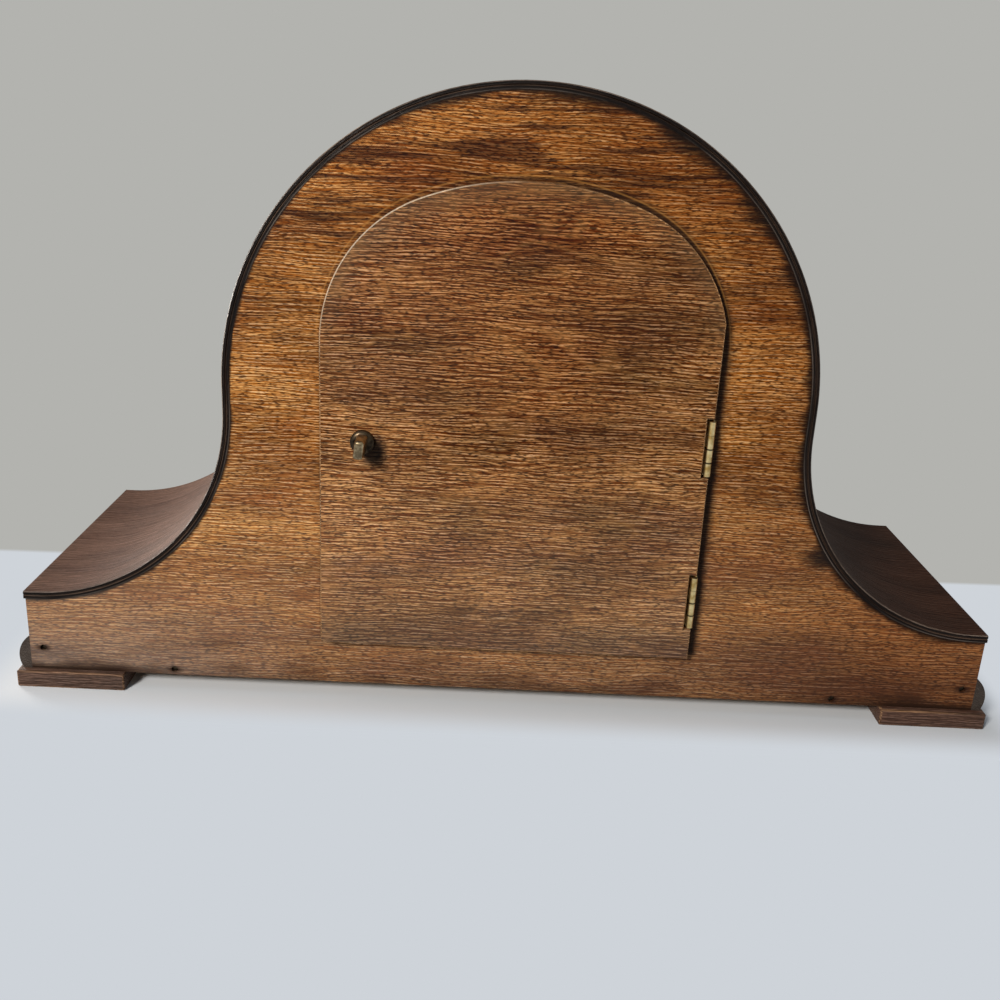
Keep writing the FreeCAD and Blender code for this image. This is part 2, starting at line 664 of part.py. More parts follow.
def make_hinges():
    keep(group("case_leaves", [leaf(f"{word}_case", level, -1) for word, level in hinge_levels()]),
         "hinge_case_leaves")
    keep(group("door_leaves", [leaf(f"{word}_door", level, 1) for word, level in hinge_levels()]),
         "hinge_door_leaves")
    pins = [rod(f"{word}_pin", "Z", "pin_radius", "hinge_length",
                (HINGE_X, HINGE_Y, f"{level} - hinge_length / 2"))
            for word, level in hinge_levels()]
    keep(group("pins", pins), "hinge_pins")
    keep(group("case_screws", hinge_screws("case_screw", -1)), "hinge_case_screws")
    keep(group("door_screws", hinge_screws("door_screw", 1)), "hinge_door_screws")
    batten = between(
        "batten",
        (f"{HINGE_EDGE_CASE} - batten_width", f"{BACK_INSIDE} - batten_depth",
         "hinge_lower - hinge_length / 2 - batten_margin"),
        (HINGE_EDGE_CASE, BACK_INSIDE, "hinge_upper + hinge_length / 2 + batten_margin"))
    keep(cut("hinge_batten", batten, hinge_screws("batten_bore", -1)), "hinge_batten")
    blocks = [between(f"{word}_block", (HINGE_EDGE_DOOR, LEAF_END, f"{level} - hinge_length / 2"),
                      (f"{HINGE_EDGE_DOOR} + batten_width", DOOR_INSIDE, f"{level} + hinge_length / 2"))
              for word, level in hinge_levels()]
    bores = hinge_screws("block_bore", 1)
    drilled = [cut(f"drilled_block_{index}", block, bores[2 * index:2 * index + 2])
               for index, block in enumerate(blocks)]
    keep(group("blocks", drilled), "hinge_blocks")


def make_door():
    body = slab("door_board", [arch("0", "door_hinge_edge")], "door_thickness", DOOR_OUTSIDE,
                [("spindle_radius + running_fit", "knob_offset", "knob_height")])
    notches = [between(
        f"{word}_notch",
        ("-door_hinge_edge - notch_margin", DOOR_INSIDE, f"{level} - hinge_length / 2 - notch_margin"),
        ("-door_hinge_edge + notch_depth", DOOR_OUTSIDE, f"{level} + hinge_length / 2 + notch_margin"))
        for word, level in hinge_levels()]
    keep(cut("rear_door", body, notches), "rear_door")


def make_catch():
    boss = turned("knob_boss", [
        ("0", "0"),
        ("boss_radius", "0"),
        ("boss_radius", "boss_height / 2", "boss_height", 1),
        ("boss_radius - boss_height / 2", "boss_height"),
        ("0", "boss_height"),
    ], ("knob_offset", DOOR_OUTSIDE, "knob_height"))
    grip = box(
        "knob_grip",
        ("knob_offset - grip_width / 2",
         f"{DOOR_OUTSIDE} + boss_height / 2",
         "knob_height - grip_length / 2"),
        ("grip_width", "grip_reach - boss_height / 2", "grip_length"))
    rounded = doc.addObject("Part::Fillet", "knob_grip_rounded")
    rounded.Base = grip
    doc.recompute()
    round_off = min(number("grip_round"), 0.45 * number("grip_width"))
    rounded.Edges = [(index + 1, round_off, round_off) for index in range(len(grip.Shape.Edges))]
    keep(fuse("catch_knob", [boss, rounded]), "catch_knob")
    tongue_back = f"({BACK_INSIDE} - tongue_gap)"
    tongue_front = f"({tongue_back} - tongue)"
    spindle_front = f"({tongue_front} - spindle_end)"
    spindle = rod("catch_spindle", "Y", "spindle_radius", f"{DOOR_OUTSIDE} - {spindle_front}",
                  ("knob_offset", spindle_front, "knob_height"))
    keep(spindle, "catch_spindle")
    arm = between("tongue_arm",
                  ("knob_offset - tongue_width / 2", tongue_front, "knob_height - tongue_length"),
                  ("knob_offset + tongue_width / 2", tongue_back, "knob_height"))
    place = ("knob_offset", tongue_front, "knob_height")
    eye = rod("tongue_eye", "Y", "tongue_width / 2", "tongue", place)
    hole = rod("tongue_hole", "Y", "spindle_radius", "tongue", place)
    keep(cut("catch_tongue", fuse("tongue_blank", [arm, eye]), [hole]), "catch_tongue")


# The dial, the hinged bezel with its domed glass, and the hands.
REBATE = "(dial_radius + dial_clearance)"


def make_bezel():
    lip = "(glass_seat + glass + glass_clearance)"
    ring = turned("bezel_rim", [
        (REBATE, "-bezel_gap"),
        (REBATE, f"-{lip}"),
        ("sight_radius", f"-{lip}"),
        ("sight_radius", f"-({lip} + bezel_lip)"),
        ("bezel_radius - bezel_crest", "-bezel_height", "bezel_height", 1),
        ("bezel_radius", "-bezel_edge"),
        ("bezel_radius", "-bezel_gap"),
    ], ("0", FRONT, DOME))
    rim = f"({REBATE} - glass_clearance)"
    dome = "(sight_radius - glass_inset)"
    sphere = f"(({dome} ^ 2 + glass_rise ^ 2) / (2 * glass_rise))"
    glass = turned("bezel_glass", [
        ("0", "-(glass_seat + glass_rise)", sphere, 1),
        (dome, "-glass_seat"),
        (rim, "-glass_seat"),
        (rim, "-(glass_seat + glass)"),
        (dome, "-(glass_seat + glass)", sphere, -1),
        ("0", "-(glass_seat + glass + glass_rise)"),
    ], ("0", FRONT, DOME))
    keep(glass, "bezel_glass")
    retainer = turned("glass_retainer", [
        (f"{rim} - retainer_width", "-(glass_seat - retainer)"),
        (f"{rim} - retainer_width", "-glass_seat"),
        (REBATE, "-glass_seat"),
        (REBATE, "-(glass_seat - retainer)"),
    ], ("0", FRONT, DOME))
    keep(retainer, "glass_retainer")
    axis = (BEZEL_X, BEZEL_Y)
    lug_low = f"({DOME} - bezel_lug_half)"
    lug = fuse("lug_blank", [
        box("lug_arm", ("bezel_radius - bezel_axis_offset", f"{BEZEL_Y} - bezel_knuckle / 2", lug_low),
            ("2 * bezel_axis_offset", "bezel_knuckle", "2 * bezel_lug_half")),
        rod("lug_knuckle", "Z", "bezel_knuckle", "2 * bezel_lug_half", axis + (lug_low,)),
    ])
    inside = rod("lug_seat", "Y", "bezel_radius", "2 * bezel_height",
                 ("0", f"{FRONT} - 2 * bezel_height", DOME))
    bore = rod("lug_bore", "Z", "bezel_pin + running_fit", "2 * bezel_lug_half", axis + (lug_low,))
    soldered = cut("bezel_hinge_lug", lug, [inside, bore])
    keep(fuse("bezel_ring", [ring, soldered]), "bezel_ring")
    plate_low = f"({DOME} - bezel_plate_half)"
    flat = box("bezel_flat",
               (f"{BEZEL_X} + bezel_knuckle + bezel_gap", f"{FRONT} - bezel_plate", plate_low),
               ("bezel_plate_width - bezel_knuckle - bezel_gap", "bezel_plate", "2 * bezel_plate_half"))
    parts = [flat]
    bores = []
    tab = "(bezel_plate_half - bezel_lug_half - 2 * knuckle_gap)"
    for word, low in (("lower", plate_low), ("upper", f"({DOME} + bezel_lug_half + 2 * knuckle_gap)")):
        parts.append(box(f"bezel_tab_{word}", (BEZEL_X, f"{FRONT} - bezel_plate", low),
                         ("bezel_plate_width / 2", "bezel_plate", tab)))
        parts.append(rod(f"bezel_knuckle_{word}", "Z", "bezel_knuckle", tab, axis + (low,)))
        bores.append(rod(f"bezel_bore_{word}", "Z", "bezel_pin", tab, axis + (low,)))
    keep(cut("bezel_hinge_plate", fuse("bezel_plate_blank", parts), bores), "bezel_hinge_plate")
    pin = rod("bezel_hinge_pin", "Z", "bezel_pin", "2 * bezel_plate_half", axis + (plate_low,))
    keep(pin, "bezel_hinge_pin")


STEM_END = 0.62
LEAF_WIDEST = 0.74
STEM_TAPER = 0.6
HOUR_ANGLE = 304.0
MINUTE_ANGLE = 48.0


def hand_outline(length, boss, waist, leaf_width):
    """A slim hand: round boss, tapering stem, pointed leaf."""
    lift = f"sqrt({boss} ^ 2 - {waist} ^ 2)"
    base = f"({length} * {STEM_END})"
    wide = f"({length} * {LEAF_WIDEST})"
    return [
        (waist, lift),
        (f"({waist} * {STEM_TAPER})", base),
        (leaf_width, wide),
        ("0", length),
        (f"-{leaf_width}", wide),
        (f"-({waist} * {STEM_TAPER})", base),
        (f"-{waist}", lift, boss, 1),
        ("0", f"-{boss}", boss, 1),
    ]


def make_hand(name, length, boss, waist, leaf_width, hole, stand, angle):
    body = slab(name, [hand_outline(length, boss, waist, leaf_width)], "hand", "0", [(hole, "0", "0")])
    body.Placement = Placement(Vector(), Rotation(Vector(0, 1, 0), angle))
    put(body, (0.0, f"{FRONT} - {stand}", DOME))
    keep(body, name)


def make_dial():
    disc = rod("dial_disc", "Y", "dial_radius", "dial", ("0", f"{FRONT} - dial", DOME))
    hole = rod("dial_centre", "Y", "dial_hole", "dial", ("0", f"{FRONT} - dial", DOME))
    square = rod("dial_winding", "Y", "winding_hole", "dial", (BARREL[0], f"{FRONT} - dial", BARREL[1]))
    keep(cut("dial_plate", disc, [hole, square]), "dial_plate")
    make_hand("hour_hand", "hour_hand_length", "(hour_pipe + hand_boss)", "hour_hand_waist",
              "hour_hand_leaf", "hour_pipe", "hour_hand_stand", HOUR_ANGLE)
    make_hand("minute_hand", "minute_hand_length", "(cannon_pipe + hand_boss)", "minute_hand_waist",
              "minute_hand_leaf", "cannon_pipe", "minute_hand_stand", MINUTE_ANGLE)
    nut_low = f"({FRONT} - minute_hand_stand - hand)"
    place = ("0", f"{nut_low} - hand_nut", DOME)
    nut = rod("nut_round", "Y", "cannon_pipe + hand_nut_lip", "hand_nut", place)
    bore = rod("nut_bore", "Y", "centre_post", "hand_nut", place)
    keep(cut("nut", nut, [bore]), "hand_nut")


# The wheel train. Each pair is set by its module and tooth counts, and each arbor by the pair before it.
GREAT = {"teeth": 72, "pinion": 9, "module": number("great_module")}
SECOND = {"teeth": 60, "pinion": 12, "module": number("second_module")}
CENTRE = {"teeth": 84, "pinion": 7, "module": number("centre_module")}
THIRD = {"teeth": 77, "pinion": 7, "module": number("third_module")}
MOTION = {"teeth": 36, "pinion": 12, "module": number("motion_module")}
HOUR = {"teeth": 40, "pinion": 10}
ESCAPE_TEETH = 42
RATCHET_TEETH = 24
SPOKES = 4

# Tooth heights in modules, and half widths of a tooth at its root and tip as shares of the pitch.
WHEEL_TOOTH = {"root": 1.2, "tip": 0.85, "root_share": 0.26, "tip_share": 0.10}
PINION_LEAF = {"root": 1.15, "tip": 0.55, "root_share": 0.17, "tip_share": 0.10}


def reach(pair):
    """From the wheel's arbor to its pinion's."""
    return pair["module"] * (pair["teeth"] + pair["pinion"]) / 2


def onward(start, side, distance, direction):
    """An arbor at a given distance from the last one, so far to the side, above or below."""
    return (side, start[1] + direction * math.sqrt(distance ** 2 - (side - start[0]) ** 2))


HOUR["module"] = 2 * reach(MOTION) / (HOUR["teeth"] + HOUR["pinion"])
MIDDLE = (0.0, number(DOME))
INTERMEDIATE = onward(MIDDLE, -number("second_side"), reach(SECOND), -1)
BARREL = onward(INTERMEDIATE, 0.0, reach(GREAT), -1)
THIRD_PLACE = onward(MIDDLE, number("third_side"), reach(CENTRE), 1)
ESCAPE = onward(THIRD_PLACE, 0.0, reach(THIRD), 1)
ANCHOR = (0.0, ESCAPE[1] + number("anchor_rise"))
STUD = (reach(MOTION), MIDDLE[1])
CLICK_PIVOT = (BARREL[0] + number("click_side"), BARREL[1] - number("click_drop"))
LEVEL = number(PLATE_BACK)


def meshing(phase, start, end, pair):
    """The phase of a pinion whose gap meets a tooth of its wheel."""
    direction = math.atan2(end[1] - start[1], end[0] - start[0])
    pitch = 2 * math.pi / pair["pinion"]
    return direction + math.pi - (phase - direction) * pair["teeth"] / pair["pinion"] - pitch / 2


def around(radius, angle, y=0.0):
    return Vector(radius * math.cos(angle), y, radius * math.sin(angle))


def plate_of(points, thickness):
    """A flat piece cut to straight sides, reaching back from its own front face."""
    return Part.Face(Part.makePolygon(points + points[:1])).extrude(Vector(0, thickness, 0))


def disc(radius, y, length):
    return Part.makeCylinder(radius, length, Vector(0, y, 0), Vector(0, 1, 0))


def toothed(teeth, radius, module, form, phase, thickness):
    """A disc with straight-flanked teeth."""
    pitch = 2 * math.pi / teeth
    root = radius - form["root"] * module
    tip = radius + form["tip"] * module
    points = []
    for index in range(teeth):
        middle = phase + index * pitch
        points.append(around(root, middle - form["root_share"] * pitch))
        points.append(around(tip, middle - form["tip_share"] * pitch))
        points.append(around(tip, middle + form["tip_share"] * pitch))
        points.append(around(root, middle + form["root_share"] * pitch))
    return plate_of(points, thickness)


def crossed_out(blank, bore, root, thickness):
    """A wheel blank with the sectors between its spokes cut away."""
    inner = bore + number("wheel_hub")
    outer = root - number("wheel_rim")
    inside = math.asin(number("spoke_half") / inner)
    outside = math.asin(number("spoke_half") / outer)
    sector = 2 * math.pi / SPOKES
    for index in range(SPOKES):
        left = sector * index
        right = left + sector
        middle = left + sector / 2
        corners = [around(inner, left + inside), around(outer, left + outside),
                   around(outer, right - outside), around(inner, right - inside)]
        edges = [Part.LineSegment(corners[0], corners[1]).toShape(),
                 Part.Arc(corners[1], around(outer, middle), corners[2]).toShape(),
                 Part.LineSegment(corners[2], corners[3]).toShape(),
                 Part.Arc(corners[3], around(inner, middle), corners[0]).toShape()]
        blank = blank.cut(Part.Face(Part.Wire(edges)).extrude(Vector(0, thickness, 0)))
    return blank


def wheel_shape(pair, bore, thickness, spoked=True):
    module = pair["module"]
    radius = module * pair["teeth"] / 2
    blank = toothed(pair["teeth"], radius, module, WHEEL_TOOTH, 0.0, thickness)
    if spoked:
        blank = crossed_out(blank, bore, radius - WHEEL_TOOTH["root"] * module, thickness)
    return blank.cut(disc(bore, 0.0, thickness))


def pinion_shape(pair, phase, length):
    radius = pair["module"] * pair["pinion"] / 2
    return toothed(pair["pinion"], radius, pair["module"], PINION_LEAF, phase, length)


def shafts(steps):
    """A stepped shaft along Y, from (start, end, radius) stretches."""
    pieces = [disc(radius, start, end - start) for start, end, radius in steps]
    return pieces[0].multiFuse(pieces[1:]).removeSplitter()


def lifted(shape, level):
    """A copy moved along Y, to be joined to other shapes."""
    moved = shape.copy()
    moved.translate(Vector(0, level, 0))
    return moved


def seat(name, shape, place, level=0.0):
    """Sets a piece on its arbor, its level counted from the front plate's inner face."""
    return keep(solid(name, shape, place[0], LEVEL + level, place[1]), name)


# Levels behind the front plate's inner face.
GAP = number("plate_gap")
PLATE = number("plate")
WHEEL = number("wheel")
FIT = number("running_fit")
SHAKE = number("end_shake")
GREAT_LEVEL = GAP - number("great_level")
SECOND_LEVEL = GAP - number("second_level")
CENTRE_LEVEL = number("centre_level")
THIRD_LEVEL = number("third_level")
ESCAPE_LEVEL = GAP - number("escape_level")
BEHIND = GAP + PLATE
RATCHET_LEVEL = BEHIND + number("ratchet_gap")
MOTION_BACK = -PLATE - number("motion_gap")
MINUTE_LEVEL = MOTION_BACK - (number("cannon_leaves") + WHEEL) / 2
MINUTE_FRONT = MINUTE_LEVEL - number("minute_leaves")
HOUR_LEVEL = MINUTE_LEVEL - (number("minute_leaves") + WHEEL) / 2


def leaves_at(pair, start, end, level, thickness):
    """Pinion leaves across the middle of the wheel that drives them."""
    length = number("pinion")
    leaves = pinion_shape(pair, meshing(0.0, start, end, pair), length)
    return lifted(leaves, level + (thickness - length) / 2)


def arbor_with(leaves, radius, pivot):
    """A wheel arbor between the plates, with its pinion leaves and two pivots."""
    return shafts([(-PLATE, BEHIND, pivot), (SHAKE, GAP - SHAKE, radius)]).fuse(leaves)


def escape_shape():
    tip = number("escape_radius")
    root = tip - number("escape_tooth")
    pitch = 2 * math.pi / ESCAPE_TEETH
    points = []
    for index in range(ESCAPE_TEETH):
        middle = index * pitch
        points.append(around(root, middle - 0.42 * pitch))
        points.append(around(tip, middle - 0.05 * pitch))
        points.append(around(tip, middle + 0.05 * pitch))
        points.append(around(root, middle + 0.12 * pitch))
    bore = number("fine_arbor")
    return crossed_out(plate_of(points, WHEEL), bore, root, WHEEL).cut(disc(bore, 0.0, WHEEL))


def make_train():
    arbor = number("arbor")
    fine = number("fine_arbor")
    fine_pivot = number("fine_pivot")
    leaves = leaves_at(GREAT, BARREL, INTERMEDIATE, GREAT_LEVEL, number("great_wheel"))
    seat("intermediate_wheel", wheel_shape(SECOND, arbor, WHEEL), INTERMEDIATE, SECOND_LEVEL)
    seat("intermediate_arbor", arbor_with(leaves, arbor, number("pivot")), INTERMEDIATE)
    leaves = leaves_at(CENTRE, MIDDLE, THIRD_PLACE, CENTRE_LEVEL, WHEEL)
    seat("third_wheel", wheel_shape(THIRD, fine, WHEEL), THIRD_PLACE, THIRD_LEVEL)
    seat("third_arbor", arbor_with(leaves, fine, fine_pivot), THIRD_PLACE)
    leaves = leaves_at(THIRD, THIRD_PLACE, ESCAPE, THIRD_LEVEL, WHEEL)
    seat("escape_wheel", escape_shape(), ESCAPE, ESCAPE_LEVEL)
    seat("escape_arbor", arbor_with(leaves, fine, fine_pivot), ESCAPE)


def make_centre():
    """The centre arbor carries the minute hand; the motion work turns the hour hand round it."""
    post = number("centre_post")
    body = number("centre_arbor")
    face = number(FRONT) - LEVEL
    minute_end = face - number("minute_hand_stand + hand")
    nut_end = minute_end - number("hand_nut")
    arbor = shafts([(nut_end, GAP / 2, post), (SHAKE, GAP - SHAKE, body),
                    (GAP / 2, BEHIND, number("pivot"))])
    leaves = leaves_at(SECOND, INTERMEDIATE, MIDDLE, SECOND_LEVEL, WHEEL)
    seat("centre_arbor", arbor.fuse(leaves), MIDDLE)
    seat("centre_wheel", wheel_shape(CENTRE, body, WHEEL), MIDDLE, CENTRE_LEVEL)
    length = number("cannon_leaves")
    leaves = pinion_shape(MOTION, meshing(0.0, STUD, MIDDLE, MOTION), length)
    pipe = disc(number("cannon_pipe"), minute_end, MOTION_BACK - minute_end)
    cannon = lifted(leaves, MOTION_BACK - length).fuse(pipe)
    seat("cannon_pinion", cannon.cut(disc(post, minute_end, MOTION_BACK - minute_end)), MIDDLE)


def make_motion_work():
    face = number(FRONT) - LEVEL
    stud = number("stud_radius + running_fit")
    leaves = pinion_shape(HOUR, meshing(0.0, MIDDLE, STUD, HOUR), number("minute_leaves"))
    both = lifted(wheel_shape(MOTION, stud, WHEEL, False), MINUTE_LEVEL).fuse(lifted(leaves, MINUTE_FRONT))
    seat("minute_wheel", both.cut(disc(stud, MINUTE_FRONT, MINUTE_LEVEL + WHEEL - MINUTE_FRONT)), STUD)
    bore = number("cannon_pipe + running_fit")
    hour_end = face - number("hour_hand_stand + hand")
    length = HOUR_LEVEL + WHEEL - hour_end
    whole = lifted(wheel_shape(HOUR, bore, WHEEL, False), HOUR_LEVEL)
    whole = whole.fuse(disc(number("hour_pipe"), hour_end, length))
    seat("hour_wheel", whole.cut(disc(bore, hour_end, length)), MIDDLE)


def spiral_strip(inner, outer, pitch, thickness, width):
    """A flat spring coiled from half turns, each a little wider than the last."""
    turns = int((outer - inner) / pitch)
    near = []
    far = []
    for half in range(2 * turns):
        centre = 0.0 if half % 2 == 0 else pitch / 2
        radius = inner + thickness + half * pitch / 2
        side = 1 if half % 2 == 0 else -1
        for edges, size in ((far, radius), (near, radius - thickness)):
            start = Vector(centre + side * size, 0, 0)
            middle = Vector(centre, 0, side * size)
            end = Vector(centre - side * size, 0, 0)
            edges.append((start, middle, end))
    edges = [Part.Arc(*points).toShape() for points in far]
    edges.append(Part.LineSegment(far[-1][2], near[-1][2]).toShape())
    edges += [Part.Arc(end, middle, start).toShape() for start, middle, end in reversed(near)]
    edges.append(Part.LineSegment(near[0][0], far[0][0]).toShape())
    return Part.Face(Part.Wire(edges)).extrude(Vector(0, width, 0))


def make_barrel():
    radius = number("drum_radius")
    inside = radius - number("drum_wall")
    bore = number("barrel_arbor + running_fit")
    foot = number("drum_foot")
    cover = number("drum_cover")
    great = lifted(wheel_shape(GREAT, bore, number("great_wheel"), False), GREAT_LEVEL)
    wall = disc(radius, foot, GREAT_LEVEL - foot).cut(disc(inside, foot, GREAT_LEVEL - foot))
    seat("barrel", great.fuse(wall), BARREL)
    seat("barrel_cover", disc(inside, foot, cover).cut(disc(bore, foot, cover)), BARREL)
    low = foot + cover + number("spring_gap")
    high = GREAT_LEVEL - number("spring_gap")
    hub = number("spring_hub")
    clear = number("spring_clearance")
    spring = spiral_strip(hub + clear, inside - clear, number("spring_pitch"), number("spring_strip"),
                          high - low)
    seat("mainspring", spring, BARREL, low)
    square = number("winding_square")
    face = number(FRONT) - LEVEL - number("minute_hand_stand")
    stem = Part.makeBox(square, -PLATE - face, square, Vector(-square / 2, face, -square / 2))
    arbor_end = RATCHET_LEVEL + number("ratchet + ratchet_end")
    arbor = shafts([(-PLATE, arbor_end, number("barrel_pivot")),
                    (SHAKE, GAP - SHAKE, number("barrel_arbor")), (low, high, hub)])
    seat("winding_arbor", arbor.fuse(stem), BARREL)


def make_ratchet():
    tip = number("ratchet_radius")
    thickness = number("ratchet")
    pitch = 2 * math.pi / RATCHET_TEETH
    points = []
    for index in range(RATCHET_TEETH):
        points.append(around(tip, index * pitch))
        points.append(around(tip - number("ratchet_tooth"), index * pitch + 0.06 * pitch))
    bore = disc(number("barrel_pivot"), 0.0, thickness)
    seat("ratchet_wheel", plate_of(points, thickness).cut(bore), BARREL, RATCHET_LEVEL)
    away = Vector(BARREL[0] - CLICK_PIVOT[0], 0, BARREL[1] - CLICK_PIVOT[1])
    nose = around(tip + number("click_clearance"), math.radians(20)) + away
    along = Vector(nose).normalize()
    across = Vector(-along.z, 0, along.x)
    root = across * number("click_arm")
    point = across * number("click_nose")
    arm = plate_of([root, nose + point, nose - point, -root], thickness)
    boss = disc(number("click_boss"), 0.0, thickness)
    bore = disc(number("stud_radius + running_fit"), 0.0, thickness)
    seat("click", arm.fuse(boss).cut(bore), CLICK_PIVOT, RATCHET_LEVEL)


# The plates that carry the train, their pillars and screws.
def pillar_places():
    wide = number("plate_half - pillar_inset")
    levels = (number("plate_above - pillar_top_inset"), -number("plate_below - pillar_foot_inset"))
    return [(side * wide, MIDDLE[1] + level) for level in levels for side in (1, -1)]


def plate_with(name, face, holes, stud):
    blank = between(f"{name}_blank", ("-plate_half", face, f"{DOME} - plate_below"),
                    ("plate_half", f"{face} + plate", f"{DOME} + plate_above"))
    drills = [rod(f"{name}_hole_{index}", "Y", radius, "plate", (place[0], face, place[1]))
              for index, (place, radius) in enumerate(holes)]
    keep(cut(name, fuse(f"{name}_studded", [blank, stud]), drills), name)


def make_plates():
    shared = [(INTERMEDIATE, "pivot + running_fit"), (THIRD_PLACE, "fine_pivot + running_fit"),
              (ESCAPE, "fine_pivot + running_fit"), (BARREL, "barrel_pivot + running_fit")]
    shared += [(place, "tenon_radius") for place in pillar_places()]
    screws = [(place, "fixing_radius") for place in fixing_places()]
    fore = [(MIDDLE, "centre_post + running_fit"), (ANCHOR, "pivot + running_fit")]
    aft = [(MIDDLE, "pivot + running_fit"), (ANCHOR, "anchor_arbor + running_fit")]
    length = -PLATE - MINUTE_FRONT + number("stud_end")
    stud = rod("minute_stud", "Y", "stud_radius", length, (STUD[0], f"{FRONT_INSIDE} - {length}", STUD[1]))
    plate_with("front_plate", FRONT_INSIDE, shared + screws + fore, stud)
    stud = rod("click_stud", "Y", "stud_radius", "ratchet_gap + ratchet + stud_end",
               (CLICK_PIVOT[0], REAR_FACE, CLICK_PIVOT[1]))
    plate_with("back_plate", REAR_PLATE, shared + aft, stud)


def make_pillars():
    pillars = []
    nuts = []
    for index, (x, z) in enumerate(pillar_places()):
        pillars.append(fuse(f"pillar_{index}", [
            rod(f"pillar_body_{index}", "Y", "pillar_radius", "plate_gap", (x, PLATE_BACK, z)),
            rod(f"pillar_tenon_{index}", "Y", "tenon_radius", "plate_gap + 2 * plate + nut",
                (x, FRONT_INSIDE, z)),
        ]))
        hexagon = doc.addObject("Part::Prism", f"nut_hexagon_{index}")
        hexagon.Polygon = 6
        hexagon.Placement = Placement(Vector(), TURNED["Y"])
        tie(hexagon, "Circumradius", "nut_radius")
        tie(hexagon, "Height", "nut")
        put(hexagon, (x, REAR_FACE, z))
        bore = rod(f"nut_bore_{index}", "Y", "tenon_radius", "nut", (x, REAR_FACE, z))
        nuts.append(cut(f"nut_{index}", hexagon, [bore]))
    keep(group("pillars", pillars), "plate_pillars")
    keep(group("nuts", nuts), "pillar_nuts")
    screws = []
    for index, place in enumerate(fixing_places()):
        screws.append(fuse(f"fixing_{index}", [
            fixing(f"fixing_shank_{index}", place, "fixing_length", "fixing_radius"),
            rod(f"fixing_cap_{index}", "Y", "fixing_head", "fixing_head_height",
                (place[0], PLATE_BACK, place[1])),
        ]))
    keep(group("fixings", screws), "movement_screws")


# The anchor with its crutch, the suspension and the pendulum.
CRUTCH_LEVEL = BEHIND + number("crutch_gap")
SWING_LEVEL = number(PENDULUM_Y) - LEVEL
ANCHOR_SPAN = math.radians(50)


def block(low, high):
    return Part.makeBox(high[0] - low[0], high[1] - low[1], high[2] - low[2], Vector(*low))


def anchor_band():
    """The curved arm over the escape wheel, from one pallet to the other."""
    inner = number("escape_radius + pallet_clearance")
    outer = inner + number("pallet_band")
    top = math.pi / 2
    low = top - ANCHOR_SPAN
    high = top + ANCHOR_SPAN
    edges = [Part.Arc(around(inner, low), around(inner, top), around(inner, high)).toShape(),
             Part.LineSegment(around(inner, high), around(outer, high)).toShape(),
             Part.Arc(around(outer, high), around(outer, top), around(outer, low)).toShape(),
             Part.LineSegment(around(outer, low), around(inner, low)).toShape()]
    band = Part.Face(Part.Wire(edges)).extrude(Vector(0, WHEEL, 0))
    band.translate(Vector(0, ESCAPE_LEVEL, -number("anchor_rise")))
    return band


def make_anchor():
    strip = number("crutch")
    far = CRUTCH_LEVEL + strip
    low = -number("crutch_drop + fork_height")
    high = -number("crutch_drop")
    inside = number("rod_radius + fork_clearance")
    arbor = shafts([(-PLATE, GAP, number("pivot")), (SHAKE, far, number("anchor_arbor")),
                    (ESCAPE_LEVEL, ESCAPE_LEVEL + WHEEL, number("anchor_hub")),
                    (CRUTCH_LEVEL, far, number("crutch_hub"))])
    parts = [anchor_band()]
    parts.append(block((-strip, CRUTCH_LEVEL, high), (strip, far, 0)))
    parts.append(block((-inside - strip, CRUTCH_LEVEL, low), (inside + strip, far, high)))
    for left in (inside, -inside - strip):
        parts.append(block((left, CRUTCH_LEVEL, low),
                           (left + strip, SWING_LEVEL + number("fork_reach"), high)))
    seat("anchor", arbor.multiFuse(parts).removeSplitter(), ANCHOR)


def make_suspension():
    top = number(DOME) + number("plate_above") - ANCHOR[1]
    rise = number("cock_rise")
    half = number("cock_arm_half")
    chop = number("chop_half")
    near = SWING_LEVEL - chop - number("chop_clearance + lug")
    far = SWING_LEVEL + chop + number("chop_clearance + lug")
    foot = block((-number("cock_half"), BEHIND, rise), (number("cock_half"), BEHIND + number("cock"), top))
    arm = block((-half, BEHIND, rise), (half, far, rise + number("cock_arm")))
    lugs = [block((-half, start, -half), (half, start + number("lug"), rise))
            for start in (near, far - number("lug"))]
    bore = disc(number("suspension_pin + running_fit"), near, far - near)
    seat("suspension_cock", foot.multiFuse([arm] + lugs).removeSplitter().cut(bore), ANCHOR)
    pin = disc(number("suspension_pin"), near, far - near)
    wide = number("chop_width")
    tall = number("chop_height") / 2
    strip = number("suspension_strip") / 2
    chops = block((-wide, SWING_LEVEL - chop, -tall), (wide, SWING_LEVEL + chop, tall))
    spring = block((-strip, SWING_LEVEL - chop + strip, -number("suspension_drop")),
                   (strip, SWING_LEVEL + chop - strip, 0))
    seat("suspension_spring", pin.multiFuse([chops, spring]).removeSplitter(), ANCHOR)


